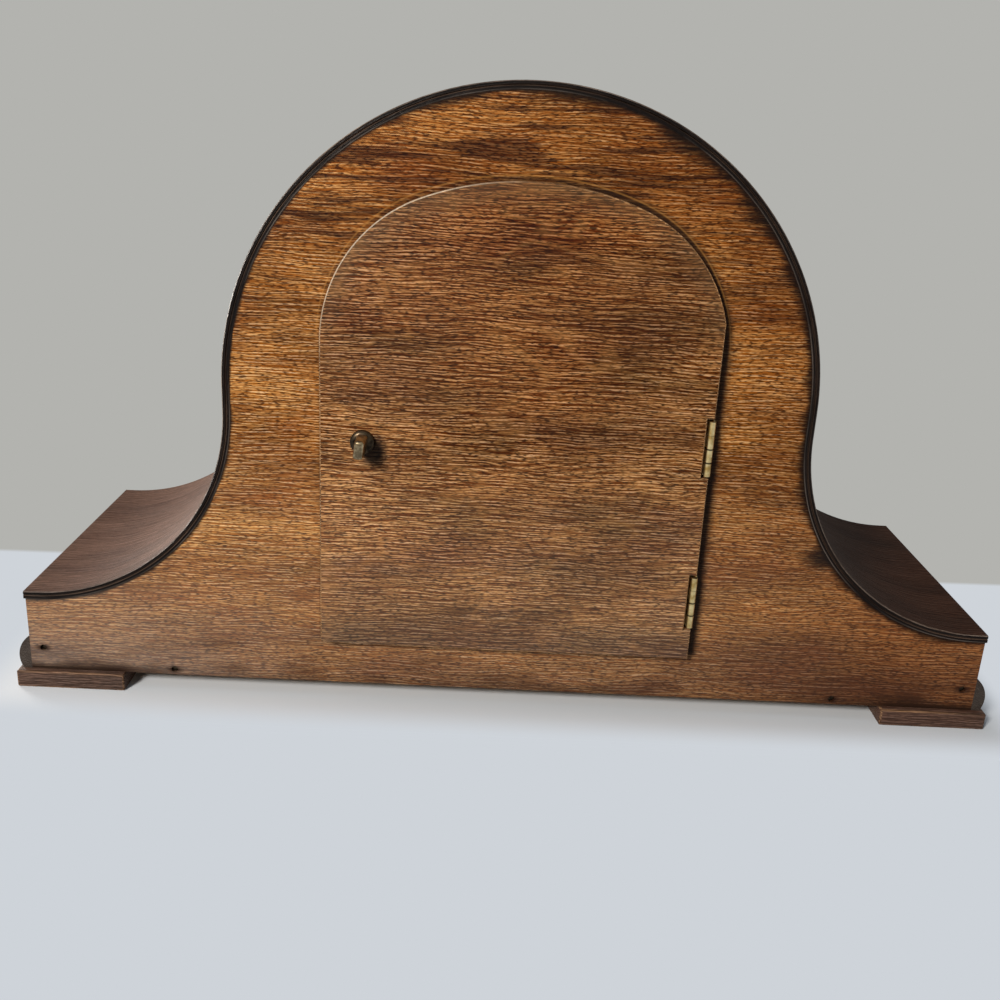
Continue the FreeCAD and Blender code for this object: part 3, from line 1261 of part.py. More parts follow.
def make_pendulum():
    drop = number("suspension_drop")
    wide = number("chop_width")
    chop = number("chop_half")
    foot = -number("pendulum_length + bob_radius + rating_gap + rating_height + rod_end")
    hook = block((-wide, SWING_LEVEL - chop, -drop - number("hook_height")),
                 (wide, SWING_LEVEL + chop, -drop))
    shaft = Part.makeCylinder(number("rod_radius"), -drop - foot, Vector(0, SWING_LEVEL, foot))
    seat("pendulum_rod", hook.fuse(shaft), ANCHOR)
    middle = ANCHOR[1] - number("pendulum_length")
    swell = "(bob_half - bob_rim)"
    sphere = f"((bob_radius ^ 2 + {swell} ^ 2) / (2 * {swell}))"
    lens = turned("bob_lens", [
        ("0", "-bob_half", sphere, 1),
        ("bob_radius", "-bob_rim"),
        ("bob_radius", "bob_rim", sphere, 1),
        ("0", "bob_half"),
    ], ("0", PENDULUM_Y, middle))
    bore = rod("bob_bore", "Z", "rod_radius", "2 * bob_radius", ("0", PENDULUM_Y, f"{middle} - bob_radius"))
    keep(cut("pendulum_bob", lens, [bore]), "pendulum_bob")
    low = f"{middle} - bob_radius - rating_gap - rating_height"
    nut = rod("rating_round", "Z", "rating_radius", "rating_height", ("0", PENDULUM_Y, low))
    bore = rod("rating_bore", "Z", "rod_radius + running_fit", "rating_height", ("0", PENDULUM_Y, low))
    keep(cut("rating", nut, [bore]), "rating_nut")


def finish():
    """Checks every object, then writes each piece to its own file."""
    doc.recompute()
    for thing in doc.Objects:
        if "Invalid" in thing.State or "Error" in thing.State:
            raise RuntimeError(f"{thing.Label} did not build: {thing.State}")
    for piece in PARTS:
        if piece.Shape.isNull() or not piece.Shape.isValid():
            raise RuntimeError(f"{piece.Label} has no sound shape")
    os.makedirs("parts", exist_ok=True)
    for piece in PARTS:
        piece.Shape.exportStep(f"parts/{piece.Label}.step")
    print(len(PARTS), "pieces written")


make_case()
make_hinges()
make_door()
make_catch()
make_bezel()
make_dial()
make_train()
make_centre()
make_motion_work()
make_barrel()
make_ratchet()
make_plates()
make_pillars()
make_anchor()
make_suspension()
make_pendulum()
finish()
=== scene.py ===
# %% [markdown]
# # A mantel clock with a hat-shaped case, seen from its back
# The clock is a domed plywood case with two sweeping shoulders, a hinged door at the back and a
# dial behind a hinged glass at the front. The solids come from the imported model, so every piece
# here is made in metres where the model says, and rides on one of its bodies. Sizes on the clock
# are written in millimetres, as on a drawing, and one factor turns them into metres.

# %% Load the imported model
import math

import bmesh
import bpy
from mathutils import Matrix, Vector


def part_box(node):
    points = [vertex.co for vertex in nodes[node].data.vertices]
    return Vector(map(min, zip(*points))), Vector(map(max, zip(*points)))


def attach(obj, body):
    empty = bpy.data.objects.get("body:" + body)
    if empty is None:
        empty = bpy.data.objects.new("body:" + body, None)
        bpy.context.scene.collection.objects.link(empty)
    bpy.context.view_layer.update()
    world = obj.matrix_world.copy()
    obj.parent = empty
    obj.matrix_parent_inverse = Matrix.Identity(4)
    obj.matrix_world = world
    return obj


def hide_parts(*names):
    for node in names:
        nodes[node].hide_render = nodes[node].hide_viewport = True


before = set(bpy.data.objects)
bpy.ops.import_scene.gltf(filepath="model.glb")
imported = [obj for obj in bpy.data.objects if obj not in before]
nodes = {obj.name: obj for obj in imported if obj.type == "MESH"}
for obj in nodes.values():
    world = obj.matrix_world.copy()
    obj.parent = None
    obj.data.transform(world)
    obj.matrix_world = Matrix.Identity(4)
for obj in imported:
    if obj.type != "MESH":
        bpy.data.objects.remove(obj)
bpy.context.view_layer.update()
MM = 0.001

# %% [markdown]
# ## The camera
# The picture was taken from a little above the clock, close to its back. A camera can be aimed by
# hand or from measured points. Here its place, its line of sight and its small tilt were solved
# from the corners of the case, so the render can be laid over the photograph.

# %% Camera
eye = Vector((10.26, 455.02, 225.24)) * MM
sight = Vector((-0.0114, -0.9439, -0.3301))
TILT = math.radians(2.95)
FOCAL_PIXELS = 1094.35
IMAGE_PIXELS = 1000
camera_data = bpy.data.cameras.new("photo_camera")
camera_data.sensor_width = 36.0
camera_data.lens = camera_data.sensor_width * FOCAL_PIXELS / IMAGE_PIXELS
camera = bpy.data.objects.new("photo_camera", camera_data)
turn = sight.to_track_quat("-Z", "Y").to_matrix() @ Matrix.Rotation(TILT, 3, "Z")
camera.matrix_world = Matrix.Translation(eye) @ turn.to_4x4()
bpy.context.scene.collection.objects.link(camera)
bpy.context.scene.camera = camera
print("lens", round(camera_data.lens, 2), "mm")

# %% [markdown]
# ## Colours and nodes
# Colours are easiest to read as the hex values of a paint chart, but the renderer adds light in
# linear values, so one function turns the first into the second. A second function adds a shader
# node with its settings and links, which keeps each finish below as a short list of nodes. Sockets
# go by number: MapRange turns the range from 1 to 2 into the range from 3 to 4, and Mix takes its
# share in 0 and its two colours in 6 and 7. A Mix either paints the second colour over the first or
# glazes it, which darkens the first and leaves its pattern visible. A soft range eases in and out.


# %% Colour and node helpers
def colour(code):
    """A hex colour of a paint chart as linear red, green, blue and alpha."""
    shades = [int(code[start:start + 2], 16) / 255 for start in (1, 3, 5)]
    return [s / 12.92 if s <= 0.04045 else ((s + 0.055) / 1.055) ** 2.4 for s in shades] + [1.0]


def add(tree, kind, inputs, **settings):
    """A node with its settings, as its first output in use. An input is a value or a socket."""
    node = tree.nodes.new("ShaderNode" + kind)
    for name, value in settings.items():
        setattr(node, name, value)
    for socket, value in inputs.items():
        if isinstance(value, bpy.types.NodeSocket):
            tree.links.new(value, node.inputs[socket])
        else:
            node.inputs[socket].default_value = value
    return next((socket for socket in node.outputs if socket.enabled), None)


PAINT = {"data_type": "RGBA"}
GLAZE = {"data_type": "RGBA", "blend_type": "MULTIPLY"}
SOFT = {"interpolation_type": "SMOOTHSTEP"}


def new_finish(name):
    """An empty material, and the tree that its nodes go into."""
    finish = bpy.data.materials.new(name)
    finish.use_nodes = True
    finish.node_tree.nodes.clear()
    return finish, finish.node_tree


print("amber in linear light:", [round(value, 3) for value in colour("#B98549")])

# %% [markdown]
# ## The table and the light
# The clock stands on a white painted table in front of a grey wall, lit by a window on the left. A
# wall would hide the clock from its front, so one level floor takes both colours, white up to the
# line where the wall begins and grey beyond it. Close to the clock the floor is real paint that
# takes its shadow. Away from it the floor fades into one even colour, so nothing cuts across the
# picture.


# %% Rays that see the background
def seen_rays(tree):
    """One for a ray that comes straight from the eye, off a reflection or through glass."""
    rays = add(tree, "LightPath", {}).node.outputs
    seen = add(tree, "Math", {0: rays["Is Camera Ray"], 1: rays["Is Glossy Ray"]}, operation="MAXIMUM")
    return add(tree, "Math", {0: seen, 1: rays["Is Transmission Ray"]}, operation="MAXIMUM")


print("metal and glass see the same background as the eye")

# %% Table paint
WALL_LINE = -0.0808
WALL_SLANT = 0.0304
WALL_SEAM = 0.002
WALL_FADE = 0.01
WALL_GREY = "#B3B3AF"
CASE_HALF = (0.195, 0.066, 0.0)
SHADOW_REACH = 0.022
# Emulsion paint from a roller is matt and even, so the eye sees a soft shadow and no reflection.
floor_finish, tree = new_finish("painted_table")
place = add(tree, "TexCoord", {}).node.outputs["Object"]
axes = add(tree, "SeparateXYZ", {0: place}).node.outputs
slant = add(tree, "Math", {0: axes[0], 1: -WALL_SLANT, 2: axes[1]}, operation="MULTIPLY_ADD")
white = add(tree, "MapRange", {0: slant, 1: WALL_LINE - WALL_SEAM, 2: WALL_LINE + WALL_SEAM})
paint = add(tree, "Mix", {0: white, 6: colour(WALL_GREY), 7: colour("#CED3D9")}, **PAINT)
body = add(tree, "BsdfPrincipled", {"Base Color": colour("#D4D9DF"), "Roughness": 0.8,
                                    "Specular IOR Level": 0.1})
plain = add(tree, "Emission", {0: paint, 1: 1.0})
spread = add(tree, "VectorMath", {0: place}, operation="ABSOLUTE")
spread = add(tree, "VectorMath", {0: spread, 1: CASE_HALF}, operation="SUBTRACT")
spread = add(tree, "VectorMath", {0: spread, 1: (0.0, 0.0, 0.0)}, operation="MAXIMUM")
span = add(tree, "VectorMath", {0: spread}, operation="LENGTH")
far = add(tree, "MapRange", {0: span, 1: 0.0, 2: SHADOW_REACH}, **SOFT)
beyond = add(tree, "MapRange", {0: slant, 1: WALL_LINE, 2: WALL_LINE - WALL_FADE})
faded = add(tree, "Math", {0: far, 1: beyond}, operation="MAXIMUM")
faded = add(tree, "Math", {0: faded, 1: seen_rays(tree)}, operation="MULTIPLY")
surface = add(tree, "MixShader", {0: faded, 1: body, 2: plain})
add(tree, "OutputMaterial", {0: surface})
print("the wall's grey begins", round(-WALL_LINE / MM, 1), "mm in front of the clock's middle")

# %% Table
FLOOR_HALF = 6.0
work = bmesh.new()
bmesh.ops.create_grid(work, x_segments=1, y_segments=1, size=FLOOR_HALF)
floor_mesh = bpy.data.meshes.new("table")
work.to_mesh(floor_mesh)
work.free()
floor_mesh.materials.append(floor_finish)
floor = bpy.data.objects.new("table", floor_mesh)
bpy.context.scene.collection.objects.link(floor)
print("the table is", 2 * FLOOR_HALF, "m wide")


# %% Light
def lamp(name, place, aim, size, power, tint):
    """A square area lamp turned towards a point."""
    data = bpy.data.lights.new(name, "AREA")
    data.size = size
    data.energy = power
    data.color = colour(tint)[:3]
    thing = bpy.data.objects.new(name, data)
    aimed = (Vector(aim) - Vector(place)).to_track_quat("-Z", "Y").to_matrix().to_4x4()
    thing.matrix_world = Matrix.Translation(place) @ aimed
    bpy.context.scene.collection.objects.link(thing)


lamp("window", (0.7, 1.2, 0.82), (0.0, 0.06, 0.1), 0.28, 26.0, "#FFF9F0")
lamp("ceiling", (0.4, 0.1, 1.45), (0.0, 0.0, 0.1), 1.2, 2.6, "#F4F7FF")
lamp("room", (1.1, -0.75, 0.27), (0.0, -0.06, 0.12), 0.45, 19.0, "#FFF9F2")
SKY_LEVEL = 0.22
world = bpy.data.worlds.new("room_light")
bpy.context.scene.world = world
world.use_nodes = True
tree = world.node_tree
tree.nodes.clear()
sky = add(tree, "Background", {0: colour("#CAD0D6"), 1: SKY_LEVEL})
wall = add(tree, "Background", {0: colour(WALL_GREY), 1: 1.0})
shown = add(tree, "MixShader", {0: seen_rays(tree), 1: sky, 2: wall})
add(tree, "OutputWorld", {0: shown})
bpy.context.scene.view_settings.view_transform = "Standard"
print("lamps:", [item.name for item in bpy.data.lights])

# %% [markdown]
# ## Stained veneer
# The back panel and the door are plywood with a rotary-cut face veneer, stained and varnished. The
# eye sees broad clouds of amber and brown, thin lines of stain along the grain with pale fibres
# between them, and short dark pores where the stain sank in. A photograph of wood would be quicker
# but shows the same knot on every board, so each level is noise drawn out along the grain. The
# lines are one noise less the same noise a line's width aside, because that leaves only the change
# between neighbours. The finest lines of real veneer are too thin to show in the render, so these
# are drawn slightly coarser, about half a millimetre wide.

# %% Veneer pattern
# The length and width of each level in mm, and the detail of its noise.
LEVELS = {
    "cloud": (52.0, 17.0, 3.0), "hue": (34.0, 15.0, 3.0), "band": (40.0, 2.0, 2.0),
    "line": (15.0, 0.43, 1.0), "dash": (2.0, 0.34, 1.0),
}
SWAY = 4.0
SWAY_SIZES = (45.0, 45.0, 22.0)


def veneer(tree, place, run, shift, aside):
    """The levels of the veneer at a place in mm. The run says which way the grain goes."""
    moved = add(tree, "VectorMath", {0: place, 1: shift}, operation="ADD")
    drift = add(tree, "Mapping", {0: moved, 3: tuple(1 / size for size in SWAY_SIZES)})
    sway = add(tree, "TexNoise", {"Vector": drift, "Scale": 1.0, "Detail": 2.0}).node.outputs["Color"]
    off = add(tree, "VectorMath", {0: sway, 1: (0.5, 0.5, 0.5)}, operation="SUBTRACT")
    wavy = add(tree, "VectorMath", {0: off, 1: (SWAY, SWAY, SWAY), 2: moved}, operation="MULTIPLY_ADD")
    out = {}
    for name, (length, width, detail) in LEVELS.items():
        scale = tuple(1 / length if axis == run else 1 / width for axis in "XYZ")
        drawn = add(tree, "Mapping", {0: wavy, 3: scale})
        out[name] = add(tree, "TexNoise", {"Vector": drawn, "Scale": 1.0, "Detail": detail})
        if name == "line":
            beside = add(tree, "VectorMath", {0: drawn, 1: aside}, operation="ADD")
            noise = add(tree, "TexNoise", {"Vector": beside, "Scale": 1.0, "Detail": detail})
            out[name] = add(tree, "Math", {0: out[name], 1: noise}, operation="SUBTRACT")
    return out


print("lines are about", LEVELS["line"][0], "mm long, dashes", LEVELS["dash"][0], "mm")

# %% Veneer finish
FIBRE_LIFT = 0.34
LINE_ASIDE = 1.2


def veneered(name, run, shift, tones, gloss, marks=None, uv_map=None, sharp=1.0, shine=0.22):
    """Stained and varnished veneer: light, red and grey wood, the stain in its lines, and its pores."""
    finish, tree = new_finish(name)
    light, red, grey, lines, pore = [colour(code) for code in tones]
    pale = tuple(level + FIBRE_LIFT * (max(light[:3]) - level) for level in light[:3]) + (1.0,)
    if uv_map:
        source = add(tree, "UVMap", {}, uv_map=uv_map)
        aside = (0.0, LINE_ASIDE, 0.0)
    else:
        source = add(tree, "TexCoord", {}).node.outputs["Object"]
        aside = (0.0, 0.0, LINE_ASIDE)
    place = add(tree, "VectorMath", {0: source, 3: 1 / MM}, operation="SCALE")
    grain = veneer(tree, place, run, shift, aside)
    cloud = add(tree, "MapRange", {0: grain["cloud"], 1: 0.38, 2: 0.62})
    hue = add(tree, "MapRange", {0: grain["hue"], 1: 0.3, 2: 0.7})
    both = add(tree, "Math", {0: grain["band"], 1: 0.25, 2: grain["line"]}, operation="MULTIPLY_ADD")
    line = add(tree, "MapRange", {0: both, 1: 0.02, 2: 0.28})
    fibre = add(tree, "MapRange", {0: both, 1: 0.2, 2: 0.38, 3: 0.0, 4: 0.4 * sharp})
    dash = add(tree, "MapRange", {0: grain["dash"], 1: 0.45, 2: 0.65, 3: 0.0, 4: 0.9 * sharp})
    wood = add(tree, "Mix", {0: hue, 6: grey, 7: red}, **PAINT)
    wood = add(tree, "Mix", {0: cloud, 6: wood, 7: light}, **PAINT)
    shade = add(tree, "Mix", {0: line, 6: lines, 7: (1.0, 1.0, 1.0, 1.0)}, **PAINT)
    tone = add(tree, "Mix", {0: 1.0, 6: wood, 7: shade}, **GLAZE)
    tone = add(tree, "Mix", {0: fibre, 6: tone, 7: pale}, **PAINT)
    tone = add(tree, "Mix", {0: dash, 6: tone, 7: pore}, **PAINT)
    if marks:
        tone = marks(tree, place, tone, grain)
    relief = add(tree, "Math", {0: dash, 1: -0.8, 2: line}, operation="MULTIPLY_ADD")
    bump = add(tree, "Bump", {"Strength": 0.4, "Distance": 0.12 * MM, "Height": relief})
    rough = add(tree, "MapRange", {0: line, 3: gloss + 0.12, 4: gloss - 0.05})
    body = add(tree, "BsdfPrincipled", {"Base Color": tone, "Roughness": rough, "Normal": bump, "IOR": 1.48,
                                        "Specular IOR Level": shine})
    add(tree, "OutputMaterial", {0: body})
    return finish


print("veneer finishes read places in mm")

# %% [markdown]
# ## Where stain and dirt gather
# The dark stain of the bent top has run over the panel's rim, and the door's shadow is painted beside it.
# Such marks could be painted on by hand, but they follow the two outlines. The distance from each
# outline comes from the circles that it was drawn with, so a mark is a band of that distance whose
# width wanders with noise.

# %% Distance from the rim
DOME_RADIUS = 107.0
DOME_HEIGHT = 127.5
SWEEP_RADIUS = 80.0
SWEEP_SIDE = 187.0
SWEEP_HEIGHT = 117.5


def rim_distance(tree, axes):
    """How far a place on the panel lies inside its rim, in mm."""
    side = add(tree, "Math", {0: axes[0]}, operation="ABSOLUTE")
    above = add(tree, "Math", {0: axes[2], 1: DOME_HEIGHT}, operation="SUBTRACT")
    above = add(tree, "Math", {0: above, 1: 0.0}, operation="MAXIMUM")
    spot = add(tree, "CombineXYZ", {0: side, 2: above})
    span = add(tree, "VectorMath", {0: spot}, operation="LENGTH")
    dome = add(tree, "Math", {0: DOME_RADIUS, 1: span}, operation="SUBTRACT")
    spot = add(tree, "CombineXYZ", {0: side, 2: axes[2]})
    centre = (SWEEP_SIDE, 0.0, SWEEP_HEIGHT)
    span = add(tree, "VectorMath", {0: spot, 1: centre}, operation="DISTANCE")
    sweep = add(tree, "Math", {0: span, 1: SWEEP_RADIUS}, operation="SUBTRACT")
    high = add(tree, "Math", {0: axes[2], 1: SWEEP_HEIGHT}, operation="GREATER_THAN")
    return add(tree, "Mix", {0: high, 2: sweep, 3: dome})


print("the dome's rim is", DOME_RADIUS, "mm from its centre")

# %% Distance from the door's edge
ARCH_RADIUS = 105.0
ARCH_HEIGHT = 100.0
HAUNCH_RADIUS = 55.0
HAUNCH_SIDE = 18.3
HAUNCH_HEIGHT = 146.53
ARCH_JOIN = (38.43, 197.71)
ARCH_SLOPE = ARCH_JOIN[0] / (ARCH_JOIN[1] - ARCH_HEIGHT)


def arch_distance(tree, axes):
    """How far a place lies inside the door's sides and arched top, in mm."""
    side = add(tree, "Math", {0: axes[0]}, operation="ABSOLUTE")
    spot = add(tree, "CombineXYZ", {0: side, 2: axes[2]})
    centre = (0.0, 0.0, ARCH_HEIGHT)
    span = add(tree, "VectorMath", {0: spot, 1: centre}, operation="DISTANCE")
    crown = add(tree, "Math", {0: ARCH_RADIUS, 1: span}, operation="SUBTRACT")
    up = add(tree, "Math", {0: axes[2], 1: HAUNCH_HEIGHT}, operation="MAXIMUM")
    spot = add(tree, "CombineXYZ", {0: side, 2: up})
    centre = (HAUNCH_SIDE, 0.0, HAUNCH_HEIGHT)
    span = add(tree, "VectorMath", {0: spot, 1: centre}, operation="DISTANCE")
    haunch = add(tree, "Math", {0: HAUNCH_RADIUS, 1: span}, operation="SUBTRACT")
    rise = add(tree, "Math", {0: axes[2], 1: ARCH_HEIGHT}, operation="SUBTRACT")
    wedge = add(tree, "Math", {0: rise, 1: ARCH_SLOPE}, operation="MULTIPLY")
    inner = add(tree, "Math", {0: side, 1: wedge}, operation="LESS_THAN")
    return add(tree, "Mix", {0: inner, 2: haunch, 3: crown})


print("the door's arch has radii of", ARCH_RADIUS, "and", HAUNCH_RADIUS, "mm")


# %% Distance from a spot and from a level
def from_spot(tree, place, spot, size):
    """How far a place on a board lies from a spot, as a share of the spot's width and height."""
    off = add(tree, "VectorMath", {0: place, 1: spot}, operation="SUBTRACT")
    off = add(tree, "VectorMath", {0: off, 1: (1 / size[0], 0.0, 1 / size[1])}, operation="MULTIPLY")
    return add(tree, "VectorMath", {0: off}, operation="LENGTH")


def off_level(tree, value, level):
    """How far a value lies above or below a level."""
    off = add(tree, "Math", {0: value, 1: level}, operation="SUBTRACT")
    return add(tree, "Math", {0: off}, operation="ABSOLUTE")


print("a spot has a width and a height in mm")

# %% [markdown]
# ## Age, painted shade and painted shadows on the panel and the door
# Painted shade darkens the top of both boards, a painted reflection of the white table greys their lower
# part, and their feet are glazed darker. The panel has dark strokes in its dome, a stained rim, nail holes,
# an ink-like spot in the hollow of one shoulder, and a painted shadow beside the door. The door has a curved
# figure in its veneer and a painted shadow below the knob. Each mark is laid over the tone in turn, as a
# restorer would build it up, and heights and sides are in mm.


# %% Painted shade and sheen on both boards
def aged(tree, axes, tone):
    """Painted shade darkens the top of a board, a painted reflection of the white table greys its lower
    half, and its foot is glazed darker and cooler.
    """
    # Painted shade: the top of a board is glazed darker.
    top_shade = add(tree, "MapRange", {0: axes[2], 1: 110.0, 2: 205.0, 3: 0.0, 4: 0.68})
    tone = add(tree, "Mix", {0: top_shade, 6: tone, 7: colour("#CEB69C")}, **GLAZE)
    # Painted reflection of the white table in the varnish: a grey veil over the lower half.
    table_sheen = add(tree, "MapRange", {0: axes[2], 1: 110.0, 2: 30.0, 3: 0.0, 4: 0.16})
    tone = add(tree, "Mix", {0: table_sheen, 6: tone, 7: colour("#A48E7C")}, **PAINT)
    # The foot is glazed darker and cooler.
    cooler_foot = add(tree, "MapRange", {0: axes[2], 1: 42.0, 2: 14.0})
    return add(tree, "Mix", {0: cooler_foot, 6: tone, 7: colour("#DBE2F8")}, **GLAZE)


# Both boards take the same painted shade and painted table reflection.
print("smoke and dust are the same on both boards")


# %% Stain in the dome and on the rim
def stain_strokes(tree, axes, tone, grain):
    """Broad dark strokes along the grain, strongest in the dome. They leave the grain visible."""
    upper = add(tree, "MapRange", {0: axes[2], 1: 130.0, 2: 190.0, 3: 0.3, 4: 1.0})
    stroke = add(tree, "MapRange", {0: grain["band"], 1: 0.51, 2: 0.61, 3: 0.0, 4: 0.9})
    stroke = add(tree, "Math", {0: stroke, 1: upper}, operation="MULTIPLY")
    return add(tree, "Mix", {0: stroke, 6: tone, 7: colour("#86746A")}, **GLAZE)


def rim_stain(tree, axes, tone, noise):
    """The top's stain that ran over the rim, widest on the hinge side of the dome."""
    hinge_side = add(tree, "MapRange", {0: axes[0], 1: 60.0, 2: -50.0, 3: 0.2, 4: 1.0})
    outer = add(tree, "MapRange", {0: axes[0], 1: -98.0, 2: -70.0, 3: 0.55, 4: 1.0})
    share = add(tree, "Math", {0: hinge_side, 1: outer}, operation="MINIMUM")
    reach = add(tree, "MapRange", {0: noise, 1: 0.35, 2: 0.7, 3: 2.2, 4: 11.0})
    reach = add(tree, "Math", {0: reach, 1: share}, operation="MULTIPLY")
    near = add(tree, "MapRange", {0: rim_distance(tree, axes), 1: 0.0, 2: reach, 3: 0.95, 4: 0.0}, **SOFT)
    return add(tree, "Mix", {0: near, 6: tone, 7: colour("#100906")}, **PAINT)


print("the rim's stain reaches up to 11 mm inwards")

# %% Painted shadow and a pale ring round the door
DOOR_LOW = 26.5


def door_dirt(tree, axes, tone):
    """A painted shadow of the door on the panel beside it, deeper on the hinge side, and a pale ring scraped
    round its arch.
    """
    edge = arch_distance(tree, axes)
    # Painted shadow: the door stands proud and throws its shadow on the panel, widest on the hinge side.
    deep = add(tree, "MapRange", {0: axes[0], 1: 20.0, 2: -55.0, 3: -1.8, 4: -4.2})
    door_shadow = add(tree, "MapRange", {0: edge, 1: deep, 2: -0.6, 3: 0.0, 4: 0.9}, **SOFT)
    hinge_side = add(tree, "MapRange", {0: axes[0], 1: 50.0, 2: -40.0, 3: 0.25, 4: 1.0})
    door_shadow = add(tree, "Math", {0: door_shadow, 1: hinge_side}, operation="MULTIPLY")
    above = add(tree, "MapRange", {0: axes[2], 1: DOOR_LOW - 0.9, 2: DOOR_LOW + 0.1})
    door_shadow = add(tree, "Math", {0: door_shadow, 1: above}, operation="MULTIPLY")
    tone = add(tree, "Mix", {0: door_shadow, 6: tone, 7: colour("#1C120D")}, **PAINT)
    off = off_level(tree, edge, -1.7)
    ring = add(tree, "MapRange", {0: off, 1: 0.1, 2: 0.45, 3: 0.3, 4: 0.0})
    arched = add(tree, "MapRange", {0: axes[2], 1: 140.0, 2: 165.0})
    ring = add(tree, "Math", {0: ring, 1: arched}, operation="MULTIPLY")
    return add(tree, "Mix", {0: ring, 6: tone, 7: colour("#B5803F")}, **PAINT)


print("the door begins", DOOR_LOW, "mm above the table")


# %% Painted shade, sheen, dust and smudges on the panel's foot
def panel_foot(tree, axes, tone, noise):
    """Painted shade on the hinge side, a foot glazed darker, dust and a painted reflection of the table on
    the other side, smudges, and a dark band along the feet.
    """
    # Painted shade: the hinge side of the panel is glazed darker.
    darker = add(tree, "MapRange", {0: axes[0], 1: -40.0, 2: -150.0})
    tone = add(tree, "Mix", {0: darker, 6: tone, 7: colour("#C6B2A6")}, **GLAZE)
    # The foot of the panel is glazed a little darker.
    low = add(tree, "MapRange", {0: axes[2], 1: 52.0, 2: 14.0})
    tone = add(tree, "Mix", {0: low, 6: tone, 7: colour("#F2EAE2")}, **GLAZE)
    # Dust together with a painted reflection of the white table greys the foot on the opening side.
    dust_and_sheen = add(tree, "MapRange", {0: axes[0], 1: 70.0, 2: 150.0, 3: 0.0, 4: 0.34})
    dust_and_sheen = add(tree, "Math", {0: dust_and_sheen, 1: low}, operation="MULTIPLY")
    tone = add(tree, "Mix", {0: dust_and_sheen, 6: tone, 7: colour("#7C7672")}, **PAINT)
    low = add(tree, "MapRange", {0: axes[2], 1: 34.0, 2: 8.0})
    smudge = add(tree, "MapRange", {0: noise, 1: 0.45, 2: 0.72, 3: 0.0, 4: 0.8})
    smudge = add(tree, "Math", {0: smudge, 1: low}, operation="MULTIPLY")
    tone = add(tree, "Mix", {0: smudge, 6: tone, 7: colour("#3E2417")}, **PAINT)
    ledge = add(tree, "MapRange", {0: noise, 1: 0.3, 2: 0.7, 3: 9.4, 4: 14.0})
    ledge = add(tree, "MapRange", {0: axes[2], 1: 7.8, 2: ledge, 3: 0.95, 4: 0.0})
    side = add(tree, "Math", {0: axes[0]}, operation="ABSOLUTE")
    footed = add(tree, "MapRange", {0: side, 1: 130.0, 2: 156.0, 3: 0.25, 4: 1.0})
    ledge = add(tree, "Math", {0: ledge, 1: footed}, operation="MULTIPLY")
    return add(tree, "Mix", {0: ledge, 6: tone, 7: colour("#22150E")}, **PAINT)


print("dirt along the feet ends about 14 mm up")

# %% Nail holes and the ink spot
NAIL_HOLES = ((184.8, 16.3), (132.8, 9.3))
NAIL_DENT = (4.2, 2.0)
INK_SPOT = (-120.4, 62.35, 70.2)
INK_SIZE = (9.0, 5.5)


def nail_dents(tree, axes, tone):
    """A dark dent drawn out along the grain round each nail, the same on both sides."""
    side = add(tree, "Math", {0: axes[0]}, operation="ABSOLUTE")
    flat = add(tree, "CombineXYZ", {0: side, 2: axes[2]})
    for out, up in NAIL_HOLES:
        span = from_spot(tree, flat, (out, 0.0, up), NAIL_DENT)
        dent = add(tree, "MapRange", {0: span, 1: 0.35, 2: 1.0, 3: 0.85, 4: 0.0})
        tone = add(tree, "Mix", {0: dent, 6: tone, 7: colour("#24130C")}, **PAINT)
    return tone


def ink_spot(tree, place, tone, noise):
    """A black spot with a ragged edge."""
    span = from_spot(tree, place, INK_SPOT, INK_SIZE)
    ragged = add(tree, "Math", {0: noise, 1: 1.4, 2: span}, operation="MULTIPLY_ADD")
    ink = add(tree, "MapRange", {0: ragged, 1: 1.0, 2: 1.9, 3: 0.92, 4: 0.0}, **SOFT)
    return add(tree, "Mix", {0: ink, 6: tone, 7: colour("#17110F")}, **PAINT)


print("nail holes at", NAIL_HOLES, "mm on each side")

# %% Figure and wear of the door, and the knob's painted shadow
DOOR_BACK = 66.85
# Centre and size of the knob's painted shadow on the door, below and right of the knob, in mm.
KNOB_SHADOW_SPOT = (53.4, DOOR_BACK, 106.4)
KNOB_SHADOW_SIZE = (1.0, 1.25)


def door_figure(tree, place, axes, tone):
    """A deeper middle, and the veneer's curved figure with a pale line along its border."""
    upper = add(tree, "MapRange", {0: axes[2], 1: 60.0, 2: 130.0})
    side = add(tree, "Math", {0: axes[0]}, operation="ABSOLUTE")
    middle = add(tree, "MapRange", {0: side, 1: 62.0, 2: 24.0})
    upper = add(tree, "Math", {0: upper, 1: middle}, operation="MULTIPLY")
    tone = add(tree, "Mix", {0: upper, 6: tone, 7: colour("#F0E6DA")}, **GLAZE)
    patches = add(tree, "Mapping", {0: place, 3: (1 / 62, 1 / 62, 1 / 30)})
    noise = add(tree, "TexNoise", {"Vector": patches, "Scale": 1.0, "Detail": 2.0, "Distortion": 0.4})
    off = add(tree, "Math", {0: noise, 1: 0.5}, operation="SUBTRACT")
    dark = add(tree, "MapRange", {0: off, 1: -0.002, 2: 0.05, 3: 0.0, 4: 0.22})
    tone = add(tree, "Mix", {0: dark, 6: tone, 7: colour("#3A2415")}, **PAINT)
    off = add(tree, "Math", {0: off}, operation="ABSOLUTE")
    pale = add(tree, "MapRange", {0: off, 1: 0.002, 2: 0.016, 3: 0.14, 4: 0.0})
    return add(tree, "Mix", {0: pale, 6: tone, 7: colour("#AD7A44")}, **PAINT)


